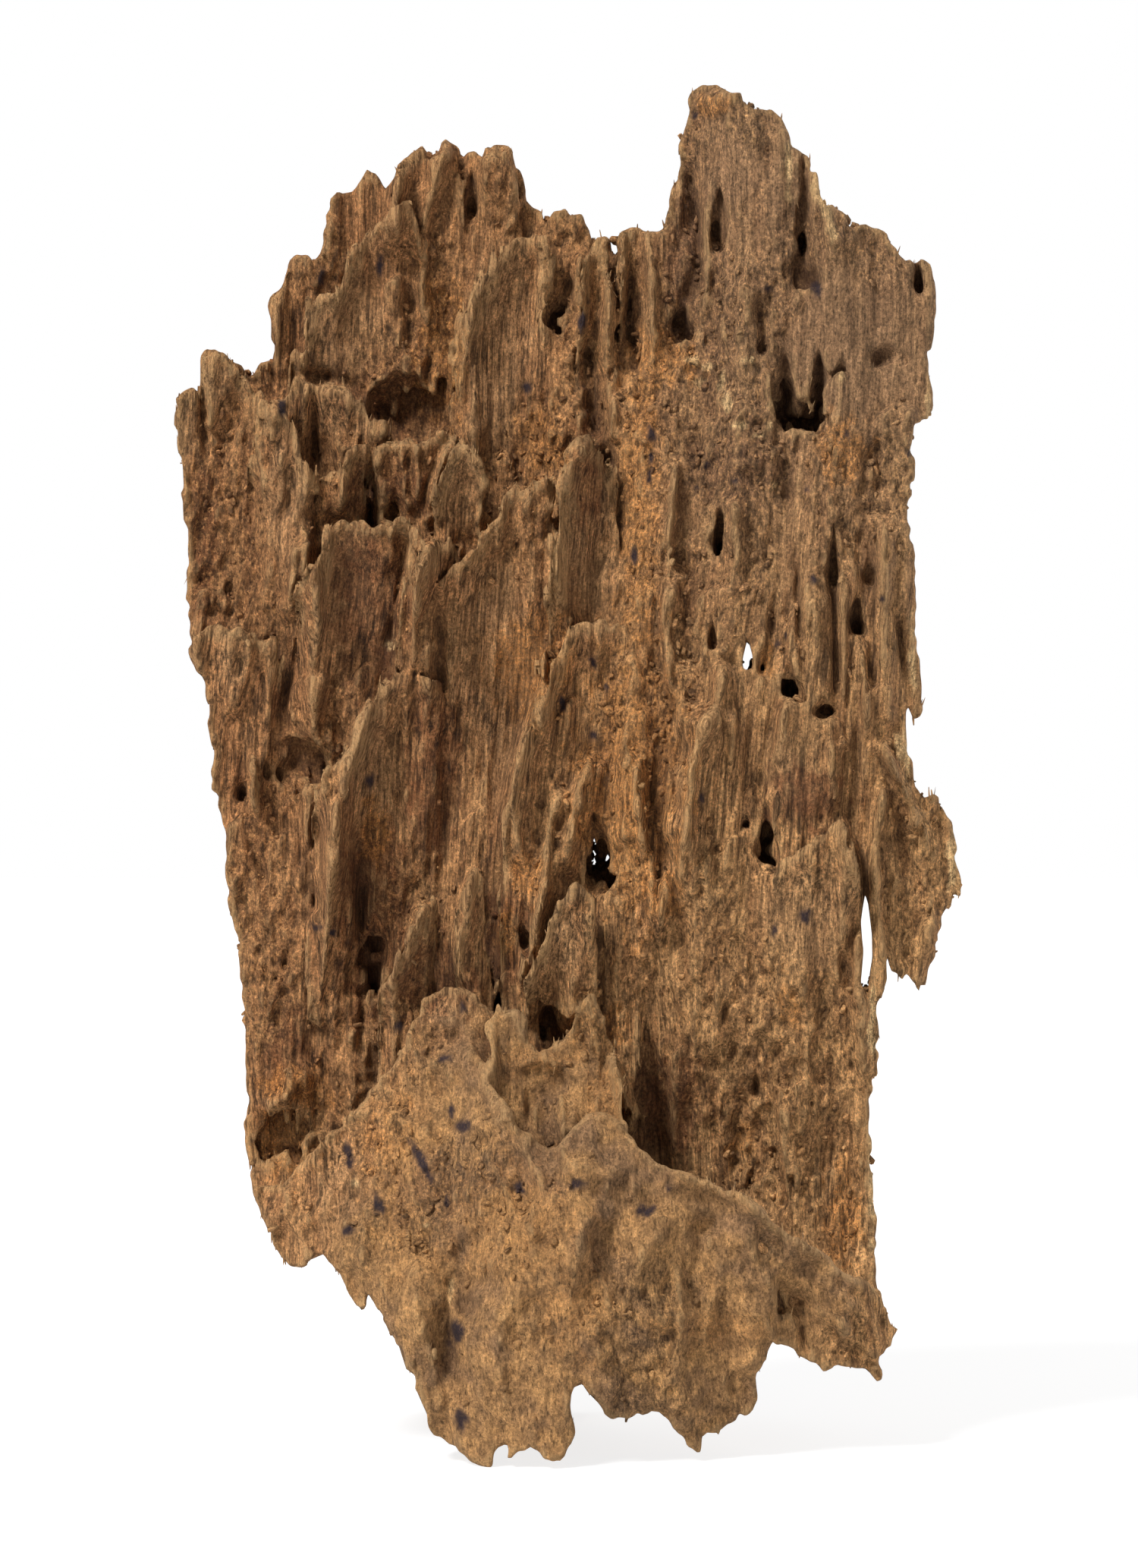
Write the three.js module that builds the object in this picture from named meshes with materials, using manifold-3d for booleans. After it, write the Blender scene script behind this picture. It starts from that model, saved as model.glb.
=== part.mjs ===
// A piece of agarwood: a decayed slab that stands on its own ragged feet.
// Flame-shaped ledges step towards the viewer from its top to its foot, each with a pocket behind its
// crest, and a thin outer skin stands free of the wood behind it at the bottom.
// Units are millimetres, +Z is up, the carved front looks along -Y and the piece rests on z = 0.

import * as THREE from "three";
import { mergeVertices } from "three/addons/utils/BufferGeometryUtils.js";
import Module from "manifold-3d";

// The front is drawn on the plane y = 0 as an eye in front of it sees it: [across, up].
// A point at another depth keeps its place in that view, so the drawing spreads from the eye.
const EYE_DISTANCE = 2000;
const EYE_HEIGHT = 290;

// The middle of the drawn piece, which goes to the origin.
const CENTRE_X = -0.2;
const CENTRE_Y = 1.9;

const DEPTH_REACH = 70; // further than any wood in front of or behind the drawing plane
const GROUND_SIZE = 280; // wider than the piece each way
const GROUND_THICKNESS = 70; // of what is cut off below the ground
const CREST_THICKNESS = 2.6; // of a ledge along its broken edge
const POCKET = 15; // how far the pocket behind a ledge reaches below its crest
const POCKET_BEND = 1.5; // 1 for a pocket with a straight wall, more for one that closes low down
const FACE_BEND = 1.5; // 1 for a face that falls back evenly below its crest, more for one that does so late
const SKIN_THICKNESS = 4; // of the outer skin along its rim
const RIPPLE = 1.3; // height of the long ridges that follow the grain
const RIPPLE_PITCH = 19; // from one of those ridges to the next
const RIPPLE_SWAY = 4; // how far the ridges wind to either side
const RIPPLE_BEND = 55; // how far up the grain a ridge takes for one radian of its winding
const FINE_SHARE = 0.5; // height of the finer ridges between them, as a share of theirs
const FINE_RATE = 5.3; // radians of the finer ridges in one pitch
const LEDGE_RIPPLE = 0.6; // share of the ridges that shows on a ledge
const SKIN_RIPPLE = 0.5; // share of the ridges that shows on the skin
const CORE_COLUMNS = 14;
const CORE_ROWS = 15;
const SKIN_ROWS = 4;
const HOLLOW_SIDES = 7;
const HOLLOW_RINGS = 5;
const JOIN_WITHIN = 0.03; // edges shorter than this are closed up
const NEEDLE_WIDTH = 0.01; // triangles thinner than this are turned
const TURNING_ROUNDS = 3;

// Depths of the wood behind the ledges, read at these places across and up. Smaller is nearer the viewer.
const ACROSS = [-88, -62, -36, -10, 16, 42, 68, 90];
const UP = [-8, 22, 60, 100, 140, 180, 220, 260, 302];
const CORE_FRONT = [
  [-8, -18, -30, -30, -26, -20, -18, -12],
  [-8, -20, -32, -32, -28, -23, -20, -12],
  [4, 4, 2, -2, -4, -6, -8, -6],
  [-2, -3, -4, -12, -18, -21, -15, -6],
  [-4, -2, -2, -12, -20, -22, -15, -6],
  [-4, 2, 6, -2, -14, -18, -15, -9],
  [0, 10, 14, 8, -8, -15, -15, -9],
  [6, 10, 11, 8, 6, -12, -14, -8],
  [10, 10, 10, 8, 4, -10, -10, -6],
];
const CORE_BACK = [
  [16, 28, 45, 50, 44, 46, 30, 16],
  [16, 30, 45, 49, 45, 43, 29, 16],
  [14, 28, 42, 46, 43, 36, 24, 12],
  [12, 28, 40, 44, 42, 32, 20, 8],
  [10, 27, 40, 44, 42, 32, 18, 6],
  [12, 27, 38, 41, 38, 28, 15, 3],
  [14, 24, 30, 31, 28, 18, 7, 0],
  [15, 19, 21, 20, 16, 5, -2, -4],
  [15, 16, 16, 15, 11, -4, -5, -3],
];

// Front face of the outer skin at the bottom, read in the same way.
const SKIN_UP = [-8, 22, 50, 76, 104];
const SKIN_FRONT = [
  [-16, -26, -42, -45, -37, -24, -15, -10],
  [-16, -28, -43, -46, -40, -31, -20, -12],
  [-14, -27, -40, -45, -42, -35, -22, -12],
  [-10, -21, -34, -40, -38, -32, -20, -10],
  [-8, -16, -29, -34, -34, -29, -18, -8],
];

// The piece as seen from the front, clockwise from its left edge.
const OUTLINE = [
  [-86.4, 227], [-84.5, 231.6], [-81.2, 231.3], [-80.7, 239], [-77.8, 240.7], [-74, 238.4], [-70, 235],
  [-66.5, 237.8], [-65.2, 244], [-66.2, 250.5], [-62.5, 255.5], [-60.5, 261.3], [-57.3, 260.8],
  [-54.8, 260.6], [-53, 270], [-50.5, 274.6], [-46.5, 276.2], [-44, 279.7], [-40.2, 276], [-38, 278],
  [-36, 282.5], [-31.8, 285.3], [-29.8, 283], [-26.8, 286.3], [-23, 283], [-19.2, 282.8], [-16.5, 285.6],
  [-12.2, 284], [-9.7, 275.5], [-5.3, 267.5], [-2, 271.2], [3.5, 269], [5.2, 264], [7.5, 265.5],
  [10.2, 261.5], [12.5, 267.2], [19.3, 265.5], [21.5, 273], [24, 281], [24.7, 289], [26.5, 297.5],
  [31, 298.7], [37.3, 296.5], [40.5, 293.3], [45.2, 292.5], [48, 287.2], [53, 281.3], [56.3, 272.4],
  [61.5, 267.6], [67, 267.5], [71.8, 262], [78, 260.7], [79.8, 254], [80.4, 245.5], [78.2, 240],
  [79.5, 231], [75.6, 222], [76, 216.5], [74.3, 206], [76, 190], [76.2, 181], [77.8, 161.8],
  [74.2, 159.5], [74.1, 152.5], [76, 144.5], [80.2, 143.4], [83.8, 136.5], [86.3, 120.6], [82, 116.5],
  [80.3, 107.5], [77, 98.2], [73.8, 104.5], [70, 107], [68.2, 94], [67.9, 80], [66.4, 70], [67.7, 47.5],
  [67.7, 35], [72, 25], [68.3, 18.7], [69, 13.8], [65, 16], [58.3, 15.7], [51, 18.3], [44.9, 21.8],
  [41.2, 14], [41, 6.8], [34, 2.8], [29.5, 1], [28.7, -2.6], [22.5, 3.5], [18.3, 6.6], [12.8, 4.3],
  [7.8, 6], [2.5, 12.8], [0.5, 10.5], [1.1, 1], [-3.5, -4.5], [-8.5, -1.2], [-13.2, -3.8], [-15.8, -1.1],
  [-18.5, -6.7], [-25.3, -1.3], [-30.8, 1.9], [-34.3, 14], [-43.8, 31], [-45.5, 29.1], [-51.5, 38.5],
  [-57.5, 38.4], [-62.5, 39.7], [-69.7, 55], [-71, 74], [-71, 84], [-72.7, 110], [-75.7, 127.5],
  [-78.7, 147.5], [-79.4, 164], [-83, 173], [-83.9, 192], [-84.9, 211],
];

// Ledges from the top of the piece to its foot. The crest is drawn from left to right and foot is the
// height where the ledge ends. face gives the depth of its left and right ends, base the depth of the face
// at its foot and root a depth inside the core.
const LEDGES = [
  {
    face: [4, 4], base: 12, root: 17, foot: 208, // left shoulder
    crest: [
      [-60.6, 240], [-57.2, 247], [-54, 252.6], [-49.5, 258.5], [-44.5, 266.5], [-38.5, 272], [-33, 271],
    ],
  },
  {
    face: [0, 2], base: 4, root: 16, foot: 178, // broad upper tongue
    crest: [[-26, 242], [-22, 250], [-19, 257], [-16, 262], [-13, 265.2], [-8, 266], [-5, 265.3], [-2, 258]],
  },
  {
    face: [2, 2], base: 0, root: 12, foot: 198, // narrow columns beside the broad tongue
    crest: [[1.8, 250], [3.1, 260], [5, 267], [7.7, 269], [9.9, 264]],
  },
  {
    face: [1, 0], base: 0, root: 12, foot: 198,
    crest: [[10.4, 264], [12.9, 271], [16, 271], [19, 269], [21, 258]],
  },
  {
    face: [-2, -1], base: 14, root: 18, foot: 188, // shelf below the left shoulder
    crest: [[-66, 229], [-60.5, 233.2], [-54, 232.7], [-47.5, 231.3], [-40, 224.8]],
  },
  {
    face: [-5, -4], base: 0, root: 6, foot: 158, // left corner
    crest: [[-88, 231], [-82, 243], [-76, 244], [-69.6, 237], [-66, 229.5]],
  },
  {
    face: [-7, -5], base: 10, root: 18, foot: 164, // two lobes under the shelf
    crest: [
      [-56.4, 211.5], [-51.2, 214.3], [-49, 218.5], [-46, 220.2], [-43.7, 217.4], [-40.8, 221.3],
      [-35, 221.5], [-30, 222.2], [-24.5, 221.5],
    ],
  },
  {
    face: [-9, -10], base: 2, root: 6, foot: 154, // tall left tongue
    crest: [[-70, 219], [-68, 224], [-65, 229.5], [-62, 227], [-59, 220.5], [-54.8, 212.3]],
  },
  {
    face: [-12, -10], base: 6, root: 10, foot: 150, // pointed tongue in the middle
    crest: [[-32, 203], [-30.5, 209], [-28, 215.5], [-25, 220.7], [-21, 219], [-18.5, 214.5], [-15, 205]],
  },
  {
    face: [-8, -8], base: 0, root: 3, foot: 120, // column on the left edge
    crest: [[-82, 179], [-79, 180.3], [-72, 180], [-68, 177.5], [-64, 179]],
  },
  {
    face: [-14, -15], base: 0, root: 7, foot: 124, // wide blade
    crest: [
      [-60.2, 187], [-58, 193], [-55, 196], [-53.5, 201.8], [-49, 203.6], [-41.5, 202.8], [-35.5, 203.5],
      [-32.5, 200], [-30, 192],
    ],
  },
  {
    face: [-15, -12], base: -5, root: 2, foot: 140, // inner crest of the middle ridge
    crest: [
      [-29, 190.5], [-25, 193.5], [-20.5, 198], [-17.5, 203.5], [-14.5, 206.5], [-10, 210.5], [-4, 212],
    ],
  },
  {
    face: [-20, -4], base: -5, root: 4, foot: 130, // outer crest of the middle ridge
    crest: [
      [-39.5, 168], [-38, 178], [-36, 189.2], [-33.3, 195], [-30, 198.8], [-26, 196], [-23, 186], [-20, 178],
    ],
  },
  {
    face: [-20, -11], base: -12, root: -4, foot: 170, // rim of the lens-shaped hollow
    crest: [[-4.4, 188], [-3.9, 200], [-3.2, 207], [-2, 214], [0, 219.5], [3, 221.3], [6, 220], [11, 214]],
  },
  {
    face: [-21, -12], base: -2, root: 0, foot: 90, // big tongue low on the left
    crest: [[-56, 145.5], [-51, 150], [-48.3, 155], [-45, 162], [-39.5, 167.8], [-33, 170], [-26, 166]],
  },
  {
    face: [-25, -16], base: -16, root: 0, foot: 72, // left margin of the middle plate
    crest: [
      [-14.5, 130], [-13, 147], [-8.5, 160], [-4.5, 170], [-2, 176], [2, 180.5], [8, 181.5], [14, 176],
    ],
  },
  {
    face: [-23, -22], base: -14, root: -2, foot: 68, // two narrow tongues above the skin
    crest: [[-41.5, 101], [-38.5, 107], [-35, 114.5], [-31.5, 119.3], [-29.2, 119.5], [-28, 104]],
  },
  {
    face: [-26, -25], base: -16, root: -2, foot: 68,
    crest: [[-25.3, 104], [-25, 115], [-23.5, 122.5], [-20.5, 127], [-18, 122], [-16, 108]],
  },
  {
    face: [-23, -26], base: -7, root: 0, foot: 68, // right shoulder
    crest: [[38, 128], [45, 126.5], [50, 130.5], [56, 134.5], [60, 137], [62.5, 133], [64, 120]],
  },
  {
    face: [-29, -28], base: -10, root: 0, foot: 50, // crest between the two skins
    crest: [
      [-17, 97], [-11.5, 95], [-9.3, 88], [-6, 87], [-2, 89.5], [1.5, 95], [4.5, 99], [8, 94], [11, 85],
      [13, 72],
    ],
  },
];

// Ledges on the back, drawn as the same eye sees them through the wood.
const BACK_LEDGES = [
  {
    face: [34, 40], base: 38, root: 14, foot: 120,
    crest: [[-72, 176], [-66, 190], [-58, 199], [-50, 214], [-42, 221], [-33, 213], [-24, 219], [-16, 206]],
  },
  {
    face: [44, 27], base: 38, root: 14, foot: 84,
    crest: [[-8, 148], [0, 163], [9, 168], [18, 179], [28, 172], [37, 186], [48, 178], [60, 160]],
  },
  {
    face: [37, 51], base: 46, root: 22, foot: 4,
    crest: [[-60, 82], [-52, 96], [-44, 101], [-34, 116], [-24, 110], [-14, 124], [-4, 113], [8, 96]],
  },
];

// Rims of the outer skin, from left to right: the left part, and the fold in front of it.
const LEFT_SKIN = {
  foot: 24,
  setBack: 7,
  rim: [
    [-74, 57], [-65, 56.5], [-60.5, 60], [-55, 66.5], [-49, 71], [-43, 78.5], [-38, 84.5], [-34.5, 92],
    [-29.5, 100], [-23, 100.3], [-19, 97.3], [-14, 92], [-9, 84],
  ],
};
const FRONT_FOLD = {
  foot: 16,
  setBack: 0,
  rim: [
    [-25, 89], [-21.5, 87.5], [-18, 82.5], [-14, 75], [-10.5, 69], [-5, 64.5], [-1, 67.5], [5, 73.3],
    [10.5, 71.5], [15, 65], [22, 60.5], [32, 57], [40, 54], [45, 48.8], [52, 44.2], [60.5, 37.2], [70, 31],
  ],
};

// Hollows that decay has left, each [across, up, half width, half height, depth, reach into the wood].
const HOLLOWS = [
  [5, 201, 7, 19, -18, 10], // lens
  [25.5, 259, 4.4, 16, -12, 18], // notch in the top
  [33.2, 270, 1.5, 6.5, -11, 9],
  [52, 270, 1.1, 12, -12, 8],
  [49.5, 260, 3.4, 5, -12, 6],
  [46.8, 233, 2.3, 8.5, -14, 9], // pocket shaped like a U
  [54.4, 231, 1.9, 9, -14, 9],
  [50.6, 228, 5, 6.5, -14, 7],
  [43, 241, 1.6, 2.2, -14, 5],
  [69, 241, 1.5, 3.2, -13, 4],
  [77.5, 256, 1.2, 3.8, -11, 5],
  [47, 210, 2.1, 5.2, -14, 7],
  [33, 199, 1.9, 9, -16, 16],
  [24.3, 200, 2, 5.6, -14, 11],
  [58, 194, 1.2, 5.2, -15, 7],
  [63.2, 181.5, 1.7, 4.8, -15, 8],
  [43, 172, 2.8, 3.6, -18, 8],
  [48.8, 163, 3, 5.8, -19, 11],
  [43, 133.5, 2.1, 6.6, -23, 12],
  [6.5, 131.5, 3.6, 8.5, -23, 14],
  [73, 133, 2.2, 7.2, -11, 7],
  [-58, 151, 7, 6, -8, 7],
  [-72, 146, 2, 6.2, -8, 7],
  [-43, 109, 3, 9, -14, 12],
  [-17.5, 113.5, 1.2, 6.3, -24, 9],
  [-4, 90, 3.6, 3.6, -28, 9],
  [-79, 191, 3, 5, -5, 5],
  [0, 252, 1.7, 8, 3, 8], // groove between the upper columns
  [-21.2, 275, 1.3, 4, 8, 8],
  [5, 44, 2, 7.2, -45, 4],
  [5, -2, 62, 12, 4, 30], // arch between the front feet and the heel
];
const BACK_HOLLOWS = [
  [39, 172, 6, 11, 26, 24], // the wood is thin around the slits
  [6, 130, 6, 14, 44, 38],
  [-6, 236, 5, 22, 28, 7],
];

// Slits that go right through, drawn like the outline.
const SLITS = [
  [[38.6, 170.6], [38.5, 172.5], [39.2, 176.5], [39.9, 173.2], [39.8, 170.8]],
  [
    [64.2, 101.5], [64.8, 108.5], [64.2, 115], [65, 121], [65.8, 119.5], [66.7, 108], [66.1, 102.5],
    [65.3, 99],
  ],
  [[5.1, 125.5], [5, 131], [5.6, 134], [6.3, 130], [6.2, 126]],
];

let wasm;

function interpolate(values, steps, at) {
  const last = steps.length - 2;
  const cell = THREE.MathUtils.clamp(steps.findLastIndex((step) => step <= at), 0, last);
  const share = THREE.MathUtils.clamp((at - steps[cell]) / (steps[cell + 1] - steps[cell]), 0, 1);
  return THREE.MathUtils.lerp(values[cell], values[cell + 1], share);
}

function depthFrom(table, rows, across, up) {
  const column = table.map((row) => interpolate(row, ACROSS, across));
  return interpolate(column, rows, up);
}

// Long ridges along the grain, which winds a little on its way up.
function ripple(across, up) {
  const phase = (across + RIPPLE_SWAY * Math.sin(up / RIPPLE_BEND)) / RIPPLE_PITCH;
  return RIPPLE * (Math.sin(2 * Math.PI * phase) + FINE_SHARE * Math.sin(FINE_RATE * phase + 1));
}

// Puts a point of the front view at its depth.
function seen(across, up, depth) {
  const spread = 1 + depth / EYE_DISTANCE;
  return new THREE.Vector3(across * spread, depth, EYE_HEIGHT + (up - EYE_HEIGHT) * spread);
}

function solidFrom(geometry) {
  geometry.deleteAttribute("normal");
  geometry.deleteAttribute("uv");
  const merged = mergeVertices(geometry);
  return new wasm.Manifold(
    new wasm.Mesh({
      numProp: 3,
      vertProperties: new Float32Array(merged.attributes.position.array),
      triVerts: new Uint32Array(merged.index.array),
    }),
  );
}

function reshape(geometry, place) {
  const position = geometry.attributes.position;
  const point = new THREE.Vector3();
  for (let index = 0; index < position.count; index += 1) {
    point.fromBufferAttribute(position, index);
    const moved = place(point);
    position.setXYZ(index, moved.x, moved.y, moved.z);
  }
  return solidFrom(geometry);
}

// A sheet of wood under a crest. levels(up) lists the heights of its rows below a crest at that height,
// and near(across, up, crestUp) and far(...) give the depths of its two faces.
function sheet(crest, levels, near, far) {
  const columns = crest.length - 1;
  const rows = levels(0).length - 1;
  return reshape(new THREE.BoxGeometry(1, 1, 1, columns, rows, 1), (point) => {
    const [across, crestUp] = crest[Math.round((point.x + 0.5) * columns)];
    const up = levels(crestUp)[Math.round((0.5 - point.y) * rows)];
    const face = point.z > 0 ? near : far;
    return seen(across, up, face(across, up, crestUp));
  });
}

// The pocket behind a ledge closes at its root, and side is -1 on the front and 1 on the back.
function ledge({ face, base, root, foot, crest }, side) {
  const left = crest[0][0];
  const width = crest[crest.length - 1][0] - left;
  const levels = (up) => [up, up - POCKET / 2, up - POCKET, foot];
  const outer = (across, up, crestUp) => {
    const edge = THREE.MathUtils.lerp(face[0], face[1], (across - left) / width);
    const rippled = edge + LEDGE_RIPPLE * ripple(across, up);
    return THREE.MathUtils.lerp(rippled, base, ((crestUp - up) / (crestUp - foot)) ** FACE_BEND);
  };
  const inner = (across, up, crestUp) => {
    const share = Math.min(1, (crestUp - up) / POCKET) ** POCKET_BEND;
    return THREE.MathUtils.lerp(outer(across, up, crestUp) - side * CREST_THICKNESS, root, share);
  };
  return side < 0 ? sheet(crest, levels, outer, inner) : sheet(crest, levels, inner, outer);
}

function skin({ foot, setBack, rim }) {
  const shares = Array.from({ length: SKIN_ROWS + 1 }, (_, row) => row / SKIN_ROWS);
  const levels = (up) => shares.map((share) => THREE.MathUtils.lerp(up, foot, share));
  const near = (across, up) => {
    return depthFrom(SKIN_FRONT, SKIN_UP, across, up) + setBack + SKIN_RIPPLE * ripple(across, up);
  };
  const far = (across, up, rimUp) => {
    return near(across, up) + SKIN_THICKNESS * (1 + (rimUp - up) / (rimUp - foot + 1));
  };
  return sheet(rim, levels, near, far);
}

function core() {
  const left = ACROSS[0];
  const width = ACROSS[ACROSS.length - 1] - left;
  const bottom = UP[0];
  const height = UP[UP.length - 1] - bottom;
  return reshape(new THREE.BoxGeometry(1, 1, 1, CORE_COLUMNS, CORE_ROWS, 1), (point) => {
    const across = left + (point.x + 0.5) * width;
    const up = bottom + (point.y + 0.5) * height;
    const table = point.z > 0 ? CORE_FRONT : CORE_BACK;
    return seen(across, up, depthFrom(table, UP, across, up) + ripple(across, up));
  });
}

// A drawn outline, carried from the nearest to the furthest depth along the lines of sight.
function prism(outline) {
  const shape = new THREE.Shape(outline.map(([across, up]) => new THREE.Vector2(across, up)));
  const geometry = new THREE.ExtrudeGeometry(shape, { depth: 1, bevelEnabled: false });
  return reshape(geometry, (point) => seen(point.x, point.y, point.z > 0.5 ? -DEPTH_REACH : DEPTH_REACH));
}

function hollow([across, up, halfWidth, halfHeight, depth, reach]) {
  return reshape(new THREE.SphereGeometry(1, HOLLOW_SIDES, HOLLOW_RINGS), (point) => {
    return seen(across + point.x * halfWidth, up + point.y * halfHeight, depth - point.z * reach);
  });
}

function belowGround() {
  const geometry = new THREE.BoxGeometry(GROUND_SIZE, GROUND_SIZE, GROUND_THICKNESS);
  geometry.translate(0, 0, -GROUND_THICKNESS / 2);
  return solidFrom(geometry);
}

function carve() {
  const raised = [
    ...LEDGES.map((shape) => ledge(shape, -1)),
    ...BACK_LEDGES.map((shape) => ledge(shape, 1)),
    skin(LEFT_SKIN),
    skin(FRONT_FOLD),
  ];
  const grown = raised.reduce((whole, part) => whole.add(part), core());
  const cuts = [...HOLLOWS, ...BACK_HOLLOWS].map(hollow).concat(SLITS.map(prism), belowGround());
  return cuts.reduce((whole, cut) => whole.subtract(cut), grown.intersect(prism(OUTLINE)));
}

// The triangles of a mesh after its shortest edges are closed up, less those that this folds flat.
function closedTriangles(mesh, distance) {
  const home = Array.from({ length: mesh.numVert }, (_, index) => index);
  const rootOf = (index) => (home[index] === index ? index : rootOf(home[index]));
  const cornersOf = (row) => [...mesh.triVerts.slice(3 * row, 3 * row + 3)];
  const triangles = Array.from({ length: mesh.numTri }, (_, row) => cornersOf(row));
  for (const corners of triangles) {
    for (const [from, to] of sidesOf(corners)) {
      if (distance(from, to) < JOIN_WITHIN) {
        home[rootOf(to)] = rootOf(from);
      }
    }
  }
  const joined = triangles.map((corners) => corners.map(rootOf));
  const whole = joined.filter((corners) => new Set(corners).size === 3);
  const nameOf = (corners) => corners.toSorted((a, b) => a - b).join();
  const copies = Map.groupBy(whole, nameOf);
  return whole.filter((corners) => copies.get(nameOf(corners)).length === 1);
}

function sidesOf([a, b, c]) {
  return [[a, b], [b, c], [c, a]];
}

// Joins and cuts leave some needle-shaped triangles. Each hands its longest side on to its other corners.
function turnNeedles(triangles, distance, point) {
  const owner = new Map();
  const own = (triangle) => sidesOf(triangle).forEach((side) => owner.set(side.join(), triangle));
  const disown = (triangle) => sidesOf(triangle).forEach((side) => owner.delete(side.join()));
  triangles.forEach(own);
  for (const triangle of triangles) {
    const [from, to] = sidesOf(triangle).toSorted((a, b) => distance(...b) - distance(...a))[0];
    const apex = triangle.find((corner) => corner !== from && corner !== to);
    const area = new THREE.Triangle(point(from), point(to), point(apex)).getArea();
    const width = (2 * area) / distance(from, to);
    const neighbour = owner.get([to, from].join());
    const far = neighbour.find((corner) => corner !== from && corner !== to);
    const taken = owner.has([apex, far].join()) || owner.has([far, apex].join());
    if (width < NEEDLE_WIDTH && !taken) {
      disown(triangle);
      disown(neighbour);
      triangle.splice(0, 3, from, far, apex);
      neighbour.splice(0, 3, far, to, apex);
      own(triangle);
      own(neighbour);
    }
  }
}

function geometryFrom(solid) {
  const mesh = solid.getMesh();
  const position = new THREE.BufferAttribute(mesh.vertProperties, mesh.numProp);
  const point = (index) => new THREE.Vector3().fromBufferAttribute(position, index);
  const distance = (from, to) => point(from).distanceTo(point(to));
  const triangles = closedTriangles(mesh, distance);
  for (let round = 0; round < TURNING_ROUNDS; round += 1) {
    turnNeedles(triangles, distance, point);
  }
  const loose = new THREE.BufferGeometry();
  loose.setAttribute("position", position);
  loose.setIndex(triangles.flat());
  const geometry = mergeVertices(loose.toNonIndexed());
  geometry.computeVertexNormals();
  return geometry;
}

wasm = await Module();
wasm.setup();

const agarwood = new THREE.Mesh(
  geometryFrom(carve()),
  new THREE.MeshStandardMaterial({ color: 0x87643e, roughness: 0.85, metalness: 0 }),
);
agarwood.name = "agarwood";
agarwood.position.set(-CENTRE_X, -CENTRE_Y, 0);

const piece = new THREE.Group();
piece.add(agarwood);

export default piece;
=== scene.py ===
import itertools
import math

import bpy
import numpy as np
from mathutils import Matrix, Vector
from mathutils.geometry import delaunay_2d_cdt


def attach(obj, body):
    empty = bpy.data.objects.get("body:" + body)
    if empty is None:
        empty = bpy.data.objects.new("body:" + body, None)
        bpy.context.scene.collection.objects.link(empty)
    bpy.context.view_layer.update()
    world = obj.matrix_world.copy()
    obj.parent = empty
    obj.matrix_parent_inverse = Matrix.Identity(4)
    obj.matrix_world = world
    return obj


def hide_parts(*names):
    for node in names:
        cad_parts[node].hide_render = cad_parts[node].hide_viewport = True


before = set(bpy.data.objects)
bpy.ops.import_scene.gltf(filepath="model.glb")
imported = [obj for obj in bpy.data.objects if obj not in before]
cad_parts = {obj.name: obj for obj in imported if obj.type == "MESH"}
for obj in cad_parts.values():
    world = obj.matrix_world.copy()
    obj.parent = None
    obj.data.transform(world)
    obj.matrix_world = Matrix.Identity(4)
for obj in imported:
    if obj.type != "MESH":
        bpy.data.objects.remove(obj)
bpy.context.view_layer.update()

# Sizes are in millimetres, and turned to metres only where a mesh, a lamp or the camera is made.
MM = 0.001

# The eye that sees the piece as the photograph does. Points of the front are drawn on the plane y = 0 as that
# eye sees them, across and up, and a point at another depth keeps its place in that view. Depth is less than
# zero towards the eye.
EYE_DISTANCE = 2000.0
EYE_HEIGHT = 290.0
CENTRE_X = -0.2
CENTRE_Y = 1.9
PHOTO_SIZE = (1500, 2066)
MM_PER_PIXEL = 1 / 6
AIM_HEIGHT = 145.3
SENSOR_HEIGHT = 36

# The grid on which the wood is worked out, across, up and in depth: first and last value, and step.
SPANS = ((-91.0, 91.0, 0.5), (-9.0, 302.0, 0.75), (-50.0, 56.0, 0.6))

# The mesh: triangles kept of the body, steps of the weight that thins it, the heights at which it is parted,
# how far apart points may lie that count as one, and the number of delaunay_2d_cdt's filling that leaves
# holes open.
KEPT_TRIANGLES = 500_000
WEIGHT_STEPS = 8
CUT_HEIGHTS = (48.0, 104.0, 164.0, 218.0)
MERGE_DISTANCE = 1e-4
INSIDE_WITH_HOLES = 4

# Bits: how many there are, the sides of each, how far its ends stand past its rings, and its shape as rings,
# each a share of its length and a share of its width.
SPLINTERS = 2800
CRUMBS = 3600
BIT_SIDES = 5
BIT_END = 0.05
SPLINTER_RINGS = ((0, 0.5), (0.4, 1), (0.8, 0.6), (1, 0.2))
CRUMB_RINGS = ((0.1, 0.6), (0.5, 1), (0.85, 0.7))

# Thickness of a crest and of the outer edge, how fast the edge thickens inwards, and over how much of a step
# two forms blend into each other.
CREST_THICKNESS = 1.4
EDGE_THICKNESS = 4.0
EDGE_SLOPE = 3.6
CREST_ROUNDING = 0.8
LEDGE_BLEND = 1.4
SKIN_ROUNDING = 1.5
HOLLOW_BLEND = 2.0
SLIT_BLEND = 0.5
OUTLINE_BLEND = 1.0
FAR = 1e3

# Height and pitch of the waves across the whole piece, how deeply a ledge is dished for its width, how far a
# hollow leans for its reach, and how much stronger ridges and grooves are than their tables say.
RIPPLE = 1.3
RIPPLE_PITCH = 19.0
DISH = 0.13
HOLLOW_LEAN = 0.55
RIDGE_GAIN = 2.3
GROOVE_GAIN = 1.3

# Rows of small tongues on every face of the wood: seed, width, length and height.
TONGUES = ((900, 13, 34, 3.3), (930, 6, 16, 2.0), (960, 3.1, 8, 0.9))

# Room left around a ledge and around a hollow on the grid, and how far the skin's shape runs below its foot.
LEDGE_MARGIN = 4
HOLLOW_MARGIN = 3
SKIN_OVERLAP = 30

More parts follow.
